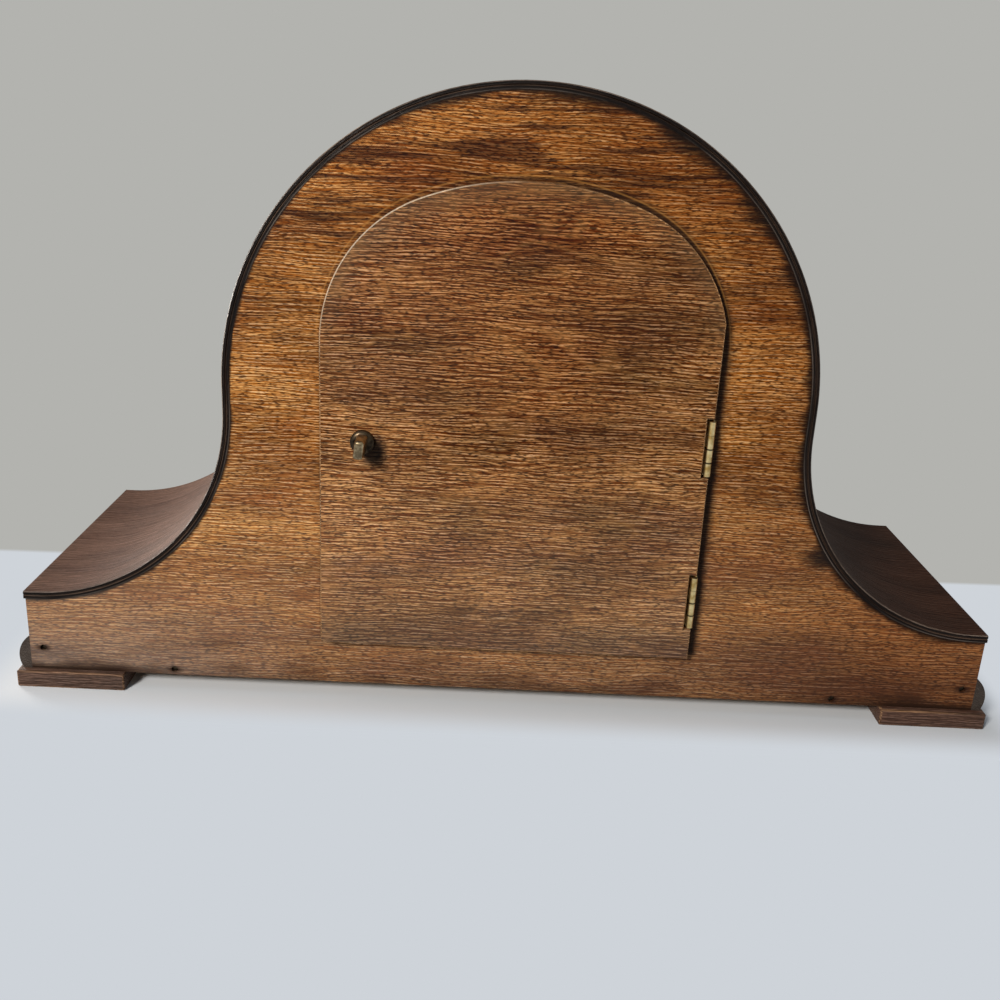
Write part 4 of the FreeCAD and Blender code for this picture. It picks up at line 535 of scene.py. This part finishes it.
def door_wear(tree, place, axes, tone, grain):
    """A grey rim under the arch, a painted shadow below and right of the knob, and a smudged foot."""
    rim = add(tree, "MapRange", {0: arch_distance(tree, axes), 1: 1.0, 2: 9.0, 3: 0.3, 4: 0.0})
    arched = add(tree, "MapRange", {0: axes[2], 1: 140.0, 2: 165.0})
    rim = add(tree, "Math", {0: rim, 1: arched}, operation="MULTIPLY")
    tone = add(tree, "Mix", {0: rim, 6: tone, 7: colour("#5B4A35")}, **PAINT)
    # Painted shadow of the knob, darkest just below and right of it.
    span = from_spot(tree, place, KNOB_SHADOW_SPOT, KNOB_SHADOW_SIZE)
    knob_shadow = add(tree, "MapRange", {0: span, 1: 2.2, 2: 7.0, 3: 0.92, 4: 0.0}, **SOFT)
    tone = add(tree, "Mix", {0: knob_shadow, 6: tone, 7: colour("#120C09")}, **PAINT)
    low = add(tree, "MapRange", {0: axes[2], 1: 44.0, 2: 31.0})
    smudge = add(tree, "MapRange", {0: grain["cloud"], 1: 0.42, 2: 0.60, 3: 0.0, 4: 0.5})
    smudge = add(tree, "Math", {0: smudge, 1: low}, operation="MULTIPLY")
    return add(tree, "Mix", {0: smudge, 6: tone, 7: colour("#38322B")}, **PAINT)


print("grime lies at", KNOB_SHADOW_SPOT, "mm")


# %% Panel and door finishes
def panel_marks(tree, place, tone, grain):
    """All that age has left on the back panel, from the broad marks to the small ones, with painted shade, a
    painted table reflection and the door's painted shadow.
    """
    axes = add(tree, "SeparateXYZ", {0: place}).node.outputs
    patches = add(tree, "Mapping", {0: place, 3: (1 / 22, 1 / 22, 1 / 9)})
    noise = add(tree, "TexNoise", {"Vector": patches, "Scale": 1.0, "Detail": 4.0})
    tone = aged(tree, axes, tone)
    tone = stain_strokes(tree, axes, tone, grain)
    tone = rim_stain(tree, axes, tone, noise)
    tone = door_dirt(tree, axes, tone)
    tone = panel_foot(tree, axes, tone, noise)
    tone = nail_dents(tree, axes, tone)
    return ink_spot(tree, place, tone, noise)


def door_marks(tree, place, tone, grain):
    """All that age has left on the door, with painted shade, a painted table reflection and the knob's
    painted shadow.
    """
    axes = add(tree, "SeparateXYZ", {0: place}).node.outputs
    tone = aged(tree, axes, tone)
    tone = door_figure(tree, place, axes, tone)
    return door_wear(tree, place, axes, tone, grain)


# Tones of a veneer, in order: light, red and grey wood, the stain in the lines, and the pores.
PANEL_TONES = ("#D9A663", "#A76F39", "#9A743F", "#AE8648", "#381802")
DOOR_TONES = ("#CE9A60", "#9A6538", "#8E6B3F", "#7C5216", "#200A00")
# Plywood under amber stain and thin old varnish: warm, clearly lined, with only a faint gloss.
panel_veneer = veneered("stained_plywood_panel", "X", (0.0, 0.0, 0.0), PANEL_TONES, 0.46, panel_marks,
                        shine=0.08)
# The same plywood from another sheet, browner and handled more, so its lines are stronger.
door_veneer = veneered("stained_plywood_door", "X", (431.0, 0.0, 217.0), DOOR_TONES, 0.5, door_marks,
                       shine=0.08)
print("panel and door:", panel_veneer.name, door_veneer.name)

# %% [markdown]
# ## Dark oak, plain wood and the ply edge
# The bent top, the feet and the strips round the base are dark stained oak, duller than the panel,
# and the boards inside are bare wood. They take the same veneer with other colours. On the top the
# grain follows the bend, so that piece has a UV map of its own, in metres along and across it.

# %% Marks on the other woods
SKIN_BACK = 62.35
GROOVE_DEPTH = 1.5
INNER_EDGE = 2.8


def ply_lines(tree, place, tone, grain):
    """The pale core in the groove between the top's two dark plies, and chips along its inner edge."""
    axes = add(tree, "SeparateXYZ", {0: place}).node.outputs
    deep = add(tree, "Math", {0: axes[1]}, operation="ABSOLUTE")
    off = off_level(tree, deep, SKIN_BACK + GROOVE_DEPTH)
    worn = add(tree, "MapRange", {0: grain["hue"], 1: 0.38, 2: 0.62, 3: 0.15, 4: 0.85})
    core = add(tree, "MapRange", {0: off, 1: 0.12, 2: 0.42, 3: 1.0, 4: 0.0})
    core = add(tree, "Math", {0: core, 1: worn}, operation="MULTIPLY")
    tone = add(tree, "Mix", {0: core, 6: tone, 7: colour("#5A483C")}, **PAINT)
    off = off_level(tree, deep, SKIN_BACK + INNER_EDGE)
    joint = add(tree, "MapRange", {0: off, 1: 0.1, 2: 0.3, 3: 1.0, 4: 0.0})
    chipped = add(tree, "MapRange", {0: grain["hue"], 1: 0.42, 2: 0.64, 3: 0.0, 4: 0.42})
    joint = add(tree, "Math", {0: joint, 1: chipped}, operation="MULTIPLY")
    return add(tree, "Mix", {0: joint, 6: tone, 7: colour("#6F655D")}, **PAINT)


def deep_stain(tree, place, tone, grain):
    """Painted shade: the top's shoulder on the hinge side is glazed darker, where the dome keeps the
    window's light off.
    """
    along = add(tree, "SeparateXYZ", {0: place})
    in_dome_shade = add(tree, "MapRange", {0: along, 1: -150.0, 2: -260.0})
    return add(tree, "Mix", {0: in_dome_shade, 6: tone, 7: colour("#A59489")}, **GLAZE)


def bare_arch(tree, place, tone, grain):
    """A painted highlight: pale wood along the arch on the opening side, where light catches the arris."""
    axes = add(tree, "SeparateXYZ", {0: place}).node.outputs
    out = add(tree, "MapRange", {0: axes[0], 1: 0.0, 2: 32.0, 3: 0.0, 4: 0.3})
    up = add(tree, "MapRange", {0: axes[2], 1: 138.0, 2: 164.0})
    lit_arris = add(tree, "Math", {0: out, 1: up}, operation="MULTIPLY")
    return add(tree, "Mix", {0: lit_arris, 6: tone, 7: colour("#F2E4CC")}, **PAINT)


print("the top's groove lies", GROOVE_DEPTH, "mm below its outer face")

# %% Other woods
OAK_TONES = ("#785A4B", "#6A4B3C", "#61493E", "#A59A91", "#110B09")
FOOT_TONES = ("#705749", "#634639", "#5C483E", "#A59A91", "#17100C")
END_TONES = ("#48403B", "#3E3631", "#39312D", "#C8C0B8", "#110D0C")
PLY_TONES = ("#1F140F", "#170F0B", "#130E0D", "#8A8078", "#0B0706")
TOP_ARRIS_TONES = ("#887769", "#685950", "#5C5049", "#A59A91", "#1C1411")
DOOR_ARRIS_TONES = ("#B88C5C", "#8E673F", "#836747", "#B0A294", "#3A2818")
FOOT_ARRIS_TONES = ("#8C6A4D", "#6E4E3C", "#614B3E", "#8A8078", "#241813")
BEECH_TONES = ("#C9A67A", "#B98C5C", "#B3925F", "#C4B8AA", "#6B4C2A")
FRONT_TONES = ("#A8743E", "#82502A", "#7A5632", "#8A7565", "#22140A")
# Oak veneer under dark stain, the varnish long gone: purple brown, dull and faintly lined, with painted
# shade on the hinge side's shoulder.
top_oak = veneered("dark_stained_oak", "X", (77.0, 31.0, 12.0), OAK_TONES, 0.6, deep_stain, "bend",
                   sharp=0.4, shine=0.05)
# The same oak, planed and still varnished: clearer pores and a soft gloss along the mouldings.
strip_oak = veneered("dark_stained_oak_strip", "X", (77.0, 31.0, 12.0), OAK_TONES, 0.5)
# Oak of the feet, scuffed by dusting: a little paler, with blurred pores.
foot_oak = veneered("dark_stained_oak_foot", "X", (17.0, 31.0, 92.0), FOOT_TONES, 0.55, sharp=0.5)
# Oak of the ends with its grain from back to front: greyer and almost without lines.
end_oak = veneered("dark_stained_oak_end", "Y", (17.0, 31.0, 92.0), END_TONES, 0.55, sharp=0.3)
# Sawn ply edges under black stain: nearly black, with a thin pale core and a few chips.
ply_edge = veneered("stained_ply_edge", "X", (7.0, 3.0, 5.0), PLY_TONES, 0.42, ply_lines, uv_map="bend",
                    shine=0.1)
# The top's arris: a thin light line along a black edge, rubbed grey by cloths and painted paler as a
# highlight.
top_arris_wear_and_sheen = veneered("worn_top_arris", "X", (5.0, 3.0, 5.0), TOP_ARRIS_TONES, 0.45, uv_map="bend",
                         sharp=0.6)
# The door's arris rubbed through the stain to bare wood, with a painted highlight along the arch on the
# opening side.
door_arris_wear_and_highlight = veneered("worn_ply_arris", "X", (3.0, 9.0, 1.0), DOOR_ARRIS_TONES, 0.5, bare_arch)
# The feet's arrises rubbed by moving the clock: a warm thin line.
worn_foot_edge = veneered("worn_oak_arris", "X", (5.0, 9.0, 1.0), FOOT_ARRIS_TONES, 0.5, sharp=0.3)
# Planed beech without any finish: pale, even and dry.
inside_wood = veneered("bare_beech", "X", (7.0, 1.0, 2.0), BEECH_TONES, 0.6, sharp=0.5)
# Oak veneer under the varnish of the show side: redder, with the clearest gloss of the woods.
front_veneer = veneered("varnished_oak_front", "X", (211.0, 5.0, 57.0), FRONT_TONES, 0.36)
print("woods:", top_oak.name, inside_wood.name, front_veneer.name)

# %% [markdown]
# ## Metals, glass and dial
# The hinges are brass gone dull with age, the bezel and the clock's plates are brighter, the knob
# is bronze worn bright on its crest, and the pins and arbors are steel. Age shows as cloudy patches
# in colour and roughness, so each metal mixes two tones by noise of a few millimetres.

# %% Metal finish
SEAM_DIRT = "#1E160C"


def metal(name, bright, dull, patch, smooth, rough, seams=()):
    """A metal with cloudy tarnish of a size in mm, and dirt in seams at some heights in mm."""
    finish, tree = new_finish(name)
    place = add(tree, "TexCoord", {}).node.outputs["Object"]
    cloud = add(tree, "TexNoise", {"Vector": place, "Scale": 1 / (patch * MM), "Detail": 4.0})
    worn = add(tree, "MapRange", {0: cloud, 1: 0.36, 2: 0.64})
    tone = add(tree, "Mix", {0: worn, 6: colour(dull), 7: colour(bright)}, **PAINT)
    up = add(tree, "SeparateXYZ", {0: place}).node.outputs[2] if seams else None
    for height in seams:
        off = off_level(tree, up, height * MM)
        dirt = add(tree, "MapRange", {0: off, 1: 0.2 * MM, 2: 0.4 * MM, 3: 0.9, 4: 0.0})
        tone = add(tree, "Mix", {0: dirt, 6: tone, 7: colour(SEAM_DIRT)}, **PAINT)
    grit = add(tree, "MapRange", {0: worn, 3: rough, 4: smooth})
    body = add(tree, "BsdfPrincipled", {"Base Color": tone, "Roughness": grit, "Metallic": 1.0})
    add(tree, "OutputMaterial", {0: body})
    return finish


print("a metal mixes a bright and a dull tone")

# %% Metals
HINGE_HEIGHTS = (113.0, 50.7)
KNUCKLE_SEAMS = [middle + step for middle in HINGE_HEIGHTS for step in (-5.25, 0.0)]
# Pressed brass without lacquer: straw yellow with dull patches, and dirt between the knuckles.
hinge_brass = metal("aged_brass", "#E6CE98", "#A88A50", 3.0, 0.3, 0.46, KNUCKLE_SEAMS)
# Spun brass under lacquer: golden, with broad bright reflections that dim in clouds.
bezel_brass = metal("lacquered_brass", "#E0BE7C", "#B99050", 14.0, 0.16, 0.3)
# Rolled brass brushed flat: pale gold with a soft sheen and no sharp reflection.
plate_brass = metal("brushed_brass", "#D8B876", "#B08C4C", 9.0, 0.28, 0.42)
# Steel from the lathe: cool grey and fairly bright, a little duller where it was oiled.
steel = metal("turned_steel", "#C9CBCE", "#9A9DA2", 4.0, 0.22, 0.38)
# Polished steel heated until it turns blue: nearly black until light catches it.
blued = metal("blued_steel", "#2F3B5C", "#1A2138", 6.0, 0.22, 0.36)
# Cast bronze gone dark: brown black with a low shine.
bronze = metal("worn_bronze", "#4E4234", "#1A1511", 2.2, 0.3, 0.45)
# The same bronze where a thumb has rubbed it: patches of bare pale metal.
rubbed_bronze = metal("rubbed_bronze", "#C9B792", "#6B5D48", 2.6, 0.28, 0.4)
print("metals:", hinge_brass.name, bezel_brass.name, steel.name, bronze.name, rubbed_bronze.name)

# %% Glass and dial
FOXING = 18.0
INK_SPECK = 1.5
# Drawn window glass, domed and polished: clear, with one sharp reflection of the window.
clear, tree = new_finish("window_glass")
body = add(tree, "BsdfPrincipled", {"Base Color": colour("#FBFDFD"), "Roughness": 0.02, "IOR": 1.45,
                                    "Transmission Weight": 1.0})
add(tree, "OutputMaterial", {0: body})
# Silvered brass under lacquer that has yellowed: a soft cream grey with darker clouds.
dial_paint, tree = new_finish("silvered_dial_paint")
place = add(tree, "TexCoord", {}).node.outputs["Object"]
cloud = add(tree, "TexNoise", {"Vector": place, "Scale": 1 / (FOXING * MM), "Detail": 6.0})
foxed = add(tree, "MapRange", {0: cloud, 1: 0.42, 2: 0.72, 3: 0.0, 4: 0.7})
tone = add(tree, "Mix", {0: foxed, 6: colour("#DDD5C2"), 7: colour("#C9B994")}, **PAINT)
body = add(tree, "BsdfPrincipled", {"Base Color": tone, "Roughness": 0.42, "Metallic": 0.15})
add(tree, "OutputMaterial", {0: body})
# Printing ink: a flat black that is never quite even.
dial_ink, tree = new_finish("printed_black_ink")
place = add(tree, "TexCoord", {}).node.outputs["Object"]
speck = add(tree, "TexNoise", {"Vector": place, "Scale": 1 / (INK_SPECK * MM), "Detail": 3.0})
tone = add(tree, "Mix", {0: speck, 6: colour("#15120F"), 7: colour("#2B2622")}, **PAINT)
body = add(tree, "BsdfPrincipled", {"Base Color": tone, "Roughness": 0.5})
add(tree, "OutputMaterial", {0: body})
print("glass and dial:", clear.name, dial_paint.name, dial_ink.name)

# %% [markdown]
# ## Making a piece
# A mesh becomes a piece of the clock when it has its finishes, rides on a body and hides the solid it stands
# for. One function does that for every piece below. It also joins doubled points, turns the faces outwards
# and shades gentle bends smooth, so each cell only has to make its shape.

# %% Piece helper
SAME_POINT = 1e-6
SMOOTH_BEND = math.radians(32)


def make_piece(work, name, body, finishes, stands_for=None):
    """Turn a bmesh into a piece that rides on a body."""
    bmesh.ops.remove_doubles(work, verts=work.verts, dist=SAME_POINT)
    bmesh.ops.recalc_face_normals(work, faces=work.faces)
    mesh = bpy.data.meshes.new(name)
    work.to_mesh(mesh)
    work.free()
    mesh.shade_smooth()
    mesh.set_sharp_from_angle(angle=SMOOTH_BEND)
    for finish in finishes:
        mesh.materials.append(finish)
    piece = bpy.data.objects.new(name, mesh)
    bpy.context.scene.collection.objects.link(piece)
    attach(piece, body)
    if stands_for:
        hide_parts(stands_for)
    print(name, "has", len(mesh.polygons), "faces")


def ends_of(result, kind):
    """The points or edges that an extrude or a spin ended on."""
    return [item for item in result if isinstance(item, kind)]


# %% [markdown]
# ## The bent top
# The top is a 3 mm plywood sheet bent over the two boards, with the edge stained nearly black and
# worn into a groove between its plies. Bending a flat grid would stretch the grain, so the sheet's
# closed section is drawn once at one tip and swept along the outline: a short run, a quarter turn
# up the shoulder, half a turn over the dome, and the same down the other side.

# %% Top: section and sweep
SKIN_THICK = 3.0
SKIN_RADIUS = DOME_RADIUS + SKIN_THICK
SKIN_SWEEP = SWEEP_RADIUS - SKIN_THICK
TIP_SIDE = 190.8
TIP_TOP = SWEEP_HEIGHT - SKIN_SWEEP
section = [(0.0, SKIN_BACK - 0.45), (0.35, SKIN_BACK), (1.2, SKIN_BACK), (GROOVE_DEPTH, SKIN_BACK - 0.4),
           (1.8, SKIN_BACK), (SKIN_THICK, SKIN_BACK)]
section = section + [(deep, -across) for deep, across in reversed(section)]
work = bmesh.new()
ring = [work.verts.new(Vector((TIP_SIDE, across, TIP_TOP - deep)) * MM) for deep, across in section]
edges = [work.edges.new((ring[i - 1], ring[i])) for i in range(len(ring))]
bmesh.ops.contextual_create(work, geom=edges)
tip_run = TIP_SIDE - SWEEP_SIDE
rise = DOME_HEIGHT - SWEEP_HEIGHT
# Each stretch: how far it goes along and up, or its centre and its turn in degrees, and its steps.
stretches = [
    (-tip_run, 0.0, None, 0.0, 1), (0.0, 0.0, (SWEEP_SIDE, SWEEP_HEIGHT), 90.0, 40),
    (0.0, rise, None, 0.0, 2), (0.0, 0.0, (0.0, DOME_HEIGHT), -180.0, 96),
    (0.0, -rise, None, 0.0, 2), (0.0, 0.0, (-SWEEP_SIDE, SWEEP_HEIGHT), 90.0, 40),
    (-tip_run, 0.0, None, 0.0, 1),
]
for along, up, centre, angle, steps in stretches:
    centre = Vector((centre[0], 0.0, centre[1])) * MM if centre else Vector()
    swept = bmesh.ops.spin(work, geom=edges, cent=centre, axis=(0.0, 1.0, 0.0), angle=math.radians(angle),
                           dvec=Vector((along, 0.0, up)) * MM / steps, steps=steps)["geom_last"]
    edges = ends_of(swept, bmesh.types.BMEdge)
bmesh.ops.contextual_create(work, geom=edges)
print("the top's section has", len(section), "corners and the sweep", len(work.faces), "faces")


# %% Top: grain that follows the bend
def along_bend(place):
    """How far along the top a place lies from its crown, and how deep below its outer face."""
    side = 1.0 if place.x > 0.0 else -1.0
    out = abs(place.x) / MM
    up = place.z / MM
    quarter = SKIN_RADIUS * math.pi / 2
    if up >= DOME_HEIGHT:
        run = SKIN_RADIUS * math.atan2(out, up - DOME_HEIGHT)
        deep = SKIN_RADIUS - math.hypot(out, up - DOME_HEIGHT)
    elif up >= SWEEP_HEIGHT:
        run = quarter + DOME_HEIGHT - up
        deep = SKIN_RADIUS - out
    elif out < SWEEP_SIDE:
        run = quarter + DOME_HEIGHT - SWEEP_HEIGHT
        run += SKIN_SWEEP * math.atan2(SWEEP_HEIGHT - up, SWEEP_SIDE - out)
        deep = math.hypot(SWEEP_SIDE - out, SWEEP_HEIGHT - up) - SKIN_SWEEP
    else:
        run = quarter + DOME_HEIGHT - SWEEP_HEIGHT + SKIN_SWEEP * math.pi / 2 + out - SWEEP_SIDE
        deep = TIP_TOP - up
    return side * run, deep


EDGE_SLOPE = 0.3
ARRIS_SLOPE = 0.75
ARRIS_DEPTH = 0.4
bend = work.loops.layers.uv.new("bend")
bmesh.ops.remove_doubles(work, verts=work.verts, dist=SAME_POINT)
bmesh.ops.recalc_face_normals(work, faces=work.faces)
for face in work.faces:
    slope = abs(face.normal.y)
    face.material_index = 1 if slope > EDGE_SLOPE or len(face.verts) > 4 else 0
    if EDGE_SLOPE < slope < ARRIS_SLOPE and along_bend(face.calc_center_median())[1] < ARRIS_DEPTH:
        face.material_index = 2
    for corner in face.loops:
        run, deep = along_bend(corner.vert.co)
        across = corner.vert.co.y / MM
        corner[bend].uv = Vector((run, across + math.copysign(deep, across))) * MM
make_piece(work, "bent_top", "case", [top_oak, ply_edge, top_arris_wear_and_sheen], "top_skin")

# %% [markdown]
# ## The rear door
# The door is a plywood board with an arched top of three arcs and a sharp edge worn pale by use, with a
# painted highlight along its arch.
# It could be cut from a grid, but its outline is only runs and arcs, so one point is drawn along
# it, extruded for the runs and spun for the arcs. The outline is then filled, given its thickness
# and bevelled, and the faces of the bevel take the worn finish.


# %% Drawing an outline
def draw_outline(work, start, moves, level):
    """Draw runs and arcs in the plane of the panel. A move is an end, and for an arc its centre."""
    tip = bmesh.ops.create_vert(work, co=Vector((start[0], level, start[1])) * MM)["vert"][0]
    for end, centre in moves:
        if centre is None:
            tip = bmesh.ops.extrude_vert_indiv(work, verts=[tip])["verts"][0]
            tip.co = Vector((end[0], level, end[1])) * MM
            continue
        first = math.atan2(tip.co.z / MM - centre[1], tip.co.x / MM - centre[0])
        last = math.atan2(end[1] - centre[1], end[0] - centre[0])
        turned = bmesh.ops.spin(work, geom=[tip], cent=Vector((centre[0], level, centre[1])) * MM,
                                axis=(0.0, 1.0, 0.0), angle=first - last, steps=24)["geom_last"]
        tip = ends_of(turned, bmesh.types.BMVert)[0]
    bmesh.ops.remove_doubles(work, verts=work.verts, dist=SAME_POINT)
    return bmesh.ops.contextual_create(work, geom=work.edges[:])["faces"]


print("an arc has 24 steps")

# %% Door outline
DOOR_SIDE = HAUNCH_SIDE + HAUNCH_RADIUS
HINGE_EDGE = -71.7
HINGE_ARC_END = 159.7
NOTCH = -68.9
NOTCH_HALF = 11.5
CORNER = 2.0
door_moves = [
    ((DOOR_SIDE - CORNER, DOOR_LOW), None),
    ((DOOR_SIDE, DOOR_LOW + CORNER), (DOOR_SIDE - CORNER, DOOR_LOW + CORNER)),
    ((DOOR_SIDE, HAUNCH_HEIGHT), None), (ARCH_JOIN, (HAUNCH_SIDE, HAUNCH_HEIGHT)),
    ((-ARCH_JOIN[0], ARCH_JOIN[1]), (0.0, ARCH_HEIGHT)),
    ((HINGE_EDGE, HINGE_ARC_END), (-HAUNCH_SIDE, HAUNCH_HEIGHT)),
]
for middle in HINGE_HEIGHTS:
    high = middle + NOTCH_HALF
    low = middle - NOTCH_HALF
    door_moves += [((HINGE_EDGE, high), None), ((NOTCH, high), None), ((NOTCH, low), None),
                   ((HINGE_EDGE, low), None)]
door_moves += [((HINGE_EDGE, DOOR_LOW), None), ((0.0, DOOR_LOW), None)]
work = bmesh.new()
board = draw_outline(work, (0.0, DOOR_LOW), door_moves, DOOR_BACK)
print("the door's outline has", len(work.verts), "points")

# %% Door thickness and worn edge
DOOR_THICK = 4.1
DOOR_WEAR = 0.45
grown = bmesh.ops.extrude_face_region(work, geom=board)["geom"]
bmesh.ops.translate(work, verts=ends_of(grown, bmesh.types.BMVert), vec=(0.0, -DOOR_THICK * MM, 0.0))
bmesh.ops.recalc_face_normals(work, faces=work.faces)
arris = [edge for edge in work.edges
         if all(abs(point.co.y - DOOR_BACK * MM) < SAME_POINT for point in edge.verts)]
worn = bmesh.ops.bevel(work, geom=arris, offset=DOOR_WEAR * MM, affect="EDGES", segments=2, profile=0.5,
                       material=-1)
for face in worn["faces"]:
    face.material_index = 1
make_piece(work, "arched_door", "rear_door", [door_veneer, door_arris_wear_and_highlight], "rear_door")

# %% [markdown]
# ## The knob
# A turn catch holds the door. Its knob is a round bronze boss gone dark, with a flat thumb grip that
# fingers have rubbed bright. The boss is a profile spun about the knob's axis. The grip is a cube
# drawn out, thicker where it meets the boss, bevelled until it feels soft and turned a little.

# %% Knob boss
KNOB = Vector((57.4, DOOR_BACK, 109.8)) * MM
BOSS = [(0.0, 2.5), (3.1, 2.6), (3.9, 2.35), (4.4, 1.8), (4.5, 1.1), (4.5, 0.0), (0.0, 0.0)]
work = bmesh.new()
points = [work.verts.new(Vector((out, high, 0.0)) * MM) for out, high in BOSS]
edges = [work.edges.new(pair) for pair in zip(points, points[1:])]
bmesh.ops.spin(work, geom=points + edges, axis=(0.0, 1.0, 0.0), angle=math.tau, steps=48, use_merge=True)
print("the boss has", len(work.faces), "faces")

# %% Knob grip
GRIP_SIZE = Vector((3.6, 10.4, 7.0)) * MM
GRIP_TIP = 12.5 * MM
GRIP_ROUND = 1.1 * MM
GRIP_TURN = math.radians(-6)
ROOT_SWELL = 1.2
boss_faces = set(work.faces)
grip = bmesh.ops.create_cube(work, size=1.0)["verts"]
bmesh.ops.scale(work, verts=grip, vec=GRIP_SIZE)
bmesh.ops.translate(work, verts=grip, vec=(0.0, GRIP_TIP - GRIP_SIZE.y / 2, 0.0))
root = [point for point in grip if point.co.y < GRIP_TIP / 2]
bmesh.ops.scale(work, verts=root, vec=(ROOT_SWELL, 1.0, 1.0))
edges = list({edge for point in grip for edge in point.link_edges})
bmesh.ops.bevel(work, geom=edges, offset=GRIP_ROUND, affect="EDGES", segments=4, profile=0.5, material=-1)
grip_faces = [face for face in work.faces if face not in boss_faces]
for face in grip_faces:
    face.material_index = 1 if face.calc_center_median().y > GRIP_TIP / 2 else 0
grip = list({point for face in grip_faces for point in face.verts})
bmesh.ops.rotate(work, verts=grip, cent=(0.0, 0.0, 0.0), matrix=Matrix.Rotation(GRIP_TURN, 3, "Y"))
bmesh.ops.translate(work, verts=work.verts, vec=KNOB)
make_piece(work, "catch_knob_grip", "door_catch", [bronze, rubbed_bronze], "catch_knob")

# %% [markdown]
# ## The feet
# Each foot is a flat oak bar that stands a little proud of the case all round, with its edges
# rubbed through to the lighter wood. It starts as a cube moved to the solid's own box. The bevel
# rounds the edges and gives the faces for the worn finish.

# %% Feet
FOOT_WEAR = 0.7
for side in ("left", "right"):
    low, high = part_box(side + "_foot")
    work = bmesh.new()
    bmesh.ops.create_cube(work, size=1.0)
    bmesh.ops.scale(work, verts=work.verts, vec=high - low)
    bmesh.ops.translate(work, verts=work.verts, vec=(high + low) / 2)
    worn = bmesh.ops.bevel(work, geom=work.edges[:], offset=FOOT_WEAR * MM, affect="EDGES", segments=3,
                           profile=0.5, material=-1)
    for face in worn["faces"]:
        face.material_index = 1
    make_piece(work, side + "_oak_foot", "case", [foot_oak, worn_foot_edge], side + "_foot")

# %% [markdown]
# ## The numbers on the dial
# The dial is a silvered plate with printed numbers and a minute track. Each number starts as text,
# is made a mesh and moved to its hour. The track is two thin rings, spun, with sixty small bars
# between them, and everything is thickened by a hair so that the print is a closed shape.

# %% Dial numbers
NUMBER_SIZE = 10.5
NUMBER_RADIUS = 52.5
work = bmesh.new()
for hour in range(1, 13):
    angle = math.radians(90 - 30 * hour)
    words = bpy.data.curves.new("number", "FONT")
    words.body = str(hour)
    words.size = NUMBER_SIZE * MM
    words.align_x = "CENTER"
    words.align_y = "CENTER"
    holder = bpy.data.objects.new("number", words)
    flat = bpy.data.meshes.new_from_object(holder)
    out = Vector((math.cos(angle), math.sin(angle), 0.0)) * NUMBER_RADIUS * MM
    flat.transform(Matrix.Translation(out))
    work.from_mesh(flat)
    bpy.data.objects.remove(holder)
    bpy.data.meshes.remove(flat)
print("the numbers have", len(work.faces), "faces")

# %% Minute track and thickness of the print
TRACK_RADII = (58.7, 62.0)
BAR_RADIUS = 60.5
BAR_LENGTH = 3.0
THIN_LINE = 0.35
HOUR_BAR = 0.9
DIAL_FRONT = -63.15
PRINT = 0.05
for minute in range(60):
    wide = HOUR_BAR if minute % 5 == 0 else THIN_LINE
    bar = Matrix.Rotation(math.radians(6 * minute), 4, "Z") @ Matrix.Translation((0.0, BAR_RADIUS * MM, 0.0))
    bar = bar @ Matrix.Diagonal((wide * MM, BAR_LENGTH * MM, 1.0, 1.0))
    bmesh.ops.create_grid(work, x_segments=1, y_segments=1, size=0.5, matrix=bar)
for inner in TRACK_RADII:
    pair = [work.verts.new((radius * MM, 0.0, 0.0)) for radius in (inner, inner + THIN_LINE)]
    line = work.edges.new(pair)
    bmesh.ops.spin(work, geom=[line], axis=(0.0, 0.0, 1.0), angle=math.tau, steps=120, use_merge=True)
grown = bmesh.ops.extrude_face_region(work, geom=work.faces[:])["geom"]
bmesh.ops.translate(work, verts=ends_of(grown, bmesh.types.BMVert), vec=(0.0, 0.0, PRINT * MM))
upright = Matrix.Rotation(math.radians(90), 4, "X")
face_on = Matrix.Translation(Vector((0.0, DIAL_FRONT, DOME_HEIGHT)) * MM) @ upright
bmesh.ops.transform(work, matrix=face_on, verts=work.verts)
make_piece(work, "dial_numbers", "case", [dial_ink])

# %% [markdown]
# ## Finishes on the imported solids
# Most solids already have the right shape and only need a finish. They could be finished one by
# one, but many share a finish, so a list groups their names. What it doesn't name belongs to the
# movement, where arbors and pinions are steel and the rest is brass, so a short rule finishes those.

# %% Finishes on the solids
GROUPS = (
    (panel_veneer, "back_panel"), (door_veneer, "rear_door"), (front_veneer, "front_panel"),
    (strip_oak, "top_skin front_moulding"), (foot_oak, "left_foot right_foot"),
    (end_oak, "left_end_moulding right_end_moulding left_end_board right_end_board"),
    (inside_wood, "base_board hinge_batten hinge_blocks"),
    (hinge_brass, "hinge_case_leaves hinge_door_leaves hinge_pins"), (bronze, "catch_knob panel_nails"),
    (bezel_brass, "bezel_ring glass_retainer bezel_hinge_plate"), (clear, "bezel_glass"),
    (dial_paint, "dial_plate"), (blued, "hour_hand minute_hand mainspring"),
    (steel, "catch_tongue catch_spindle hinge_case_screws hinge_door_screws bezel_hinge_pin"),
    (steel, "movement_screws suspension_spring pendulum_rod anchor click ratchet_wheel"),
)
STEEL_WORDS = ("arbor", "pinion")
finish_of = {name: finish for finish, names in GROUPS for name in names.split()}
for name, thing in nodes.items():
    rule = steel if any(word in name for word in STEEL_WORDS) else plate_brass
    thing.data.materials.clear()
    thing.data.materials.append(finish_of.get(name, rule))
print("finishes set on", len(nodes), "solids,", len(finish_of), "of them by name")
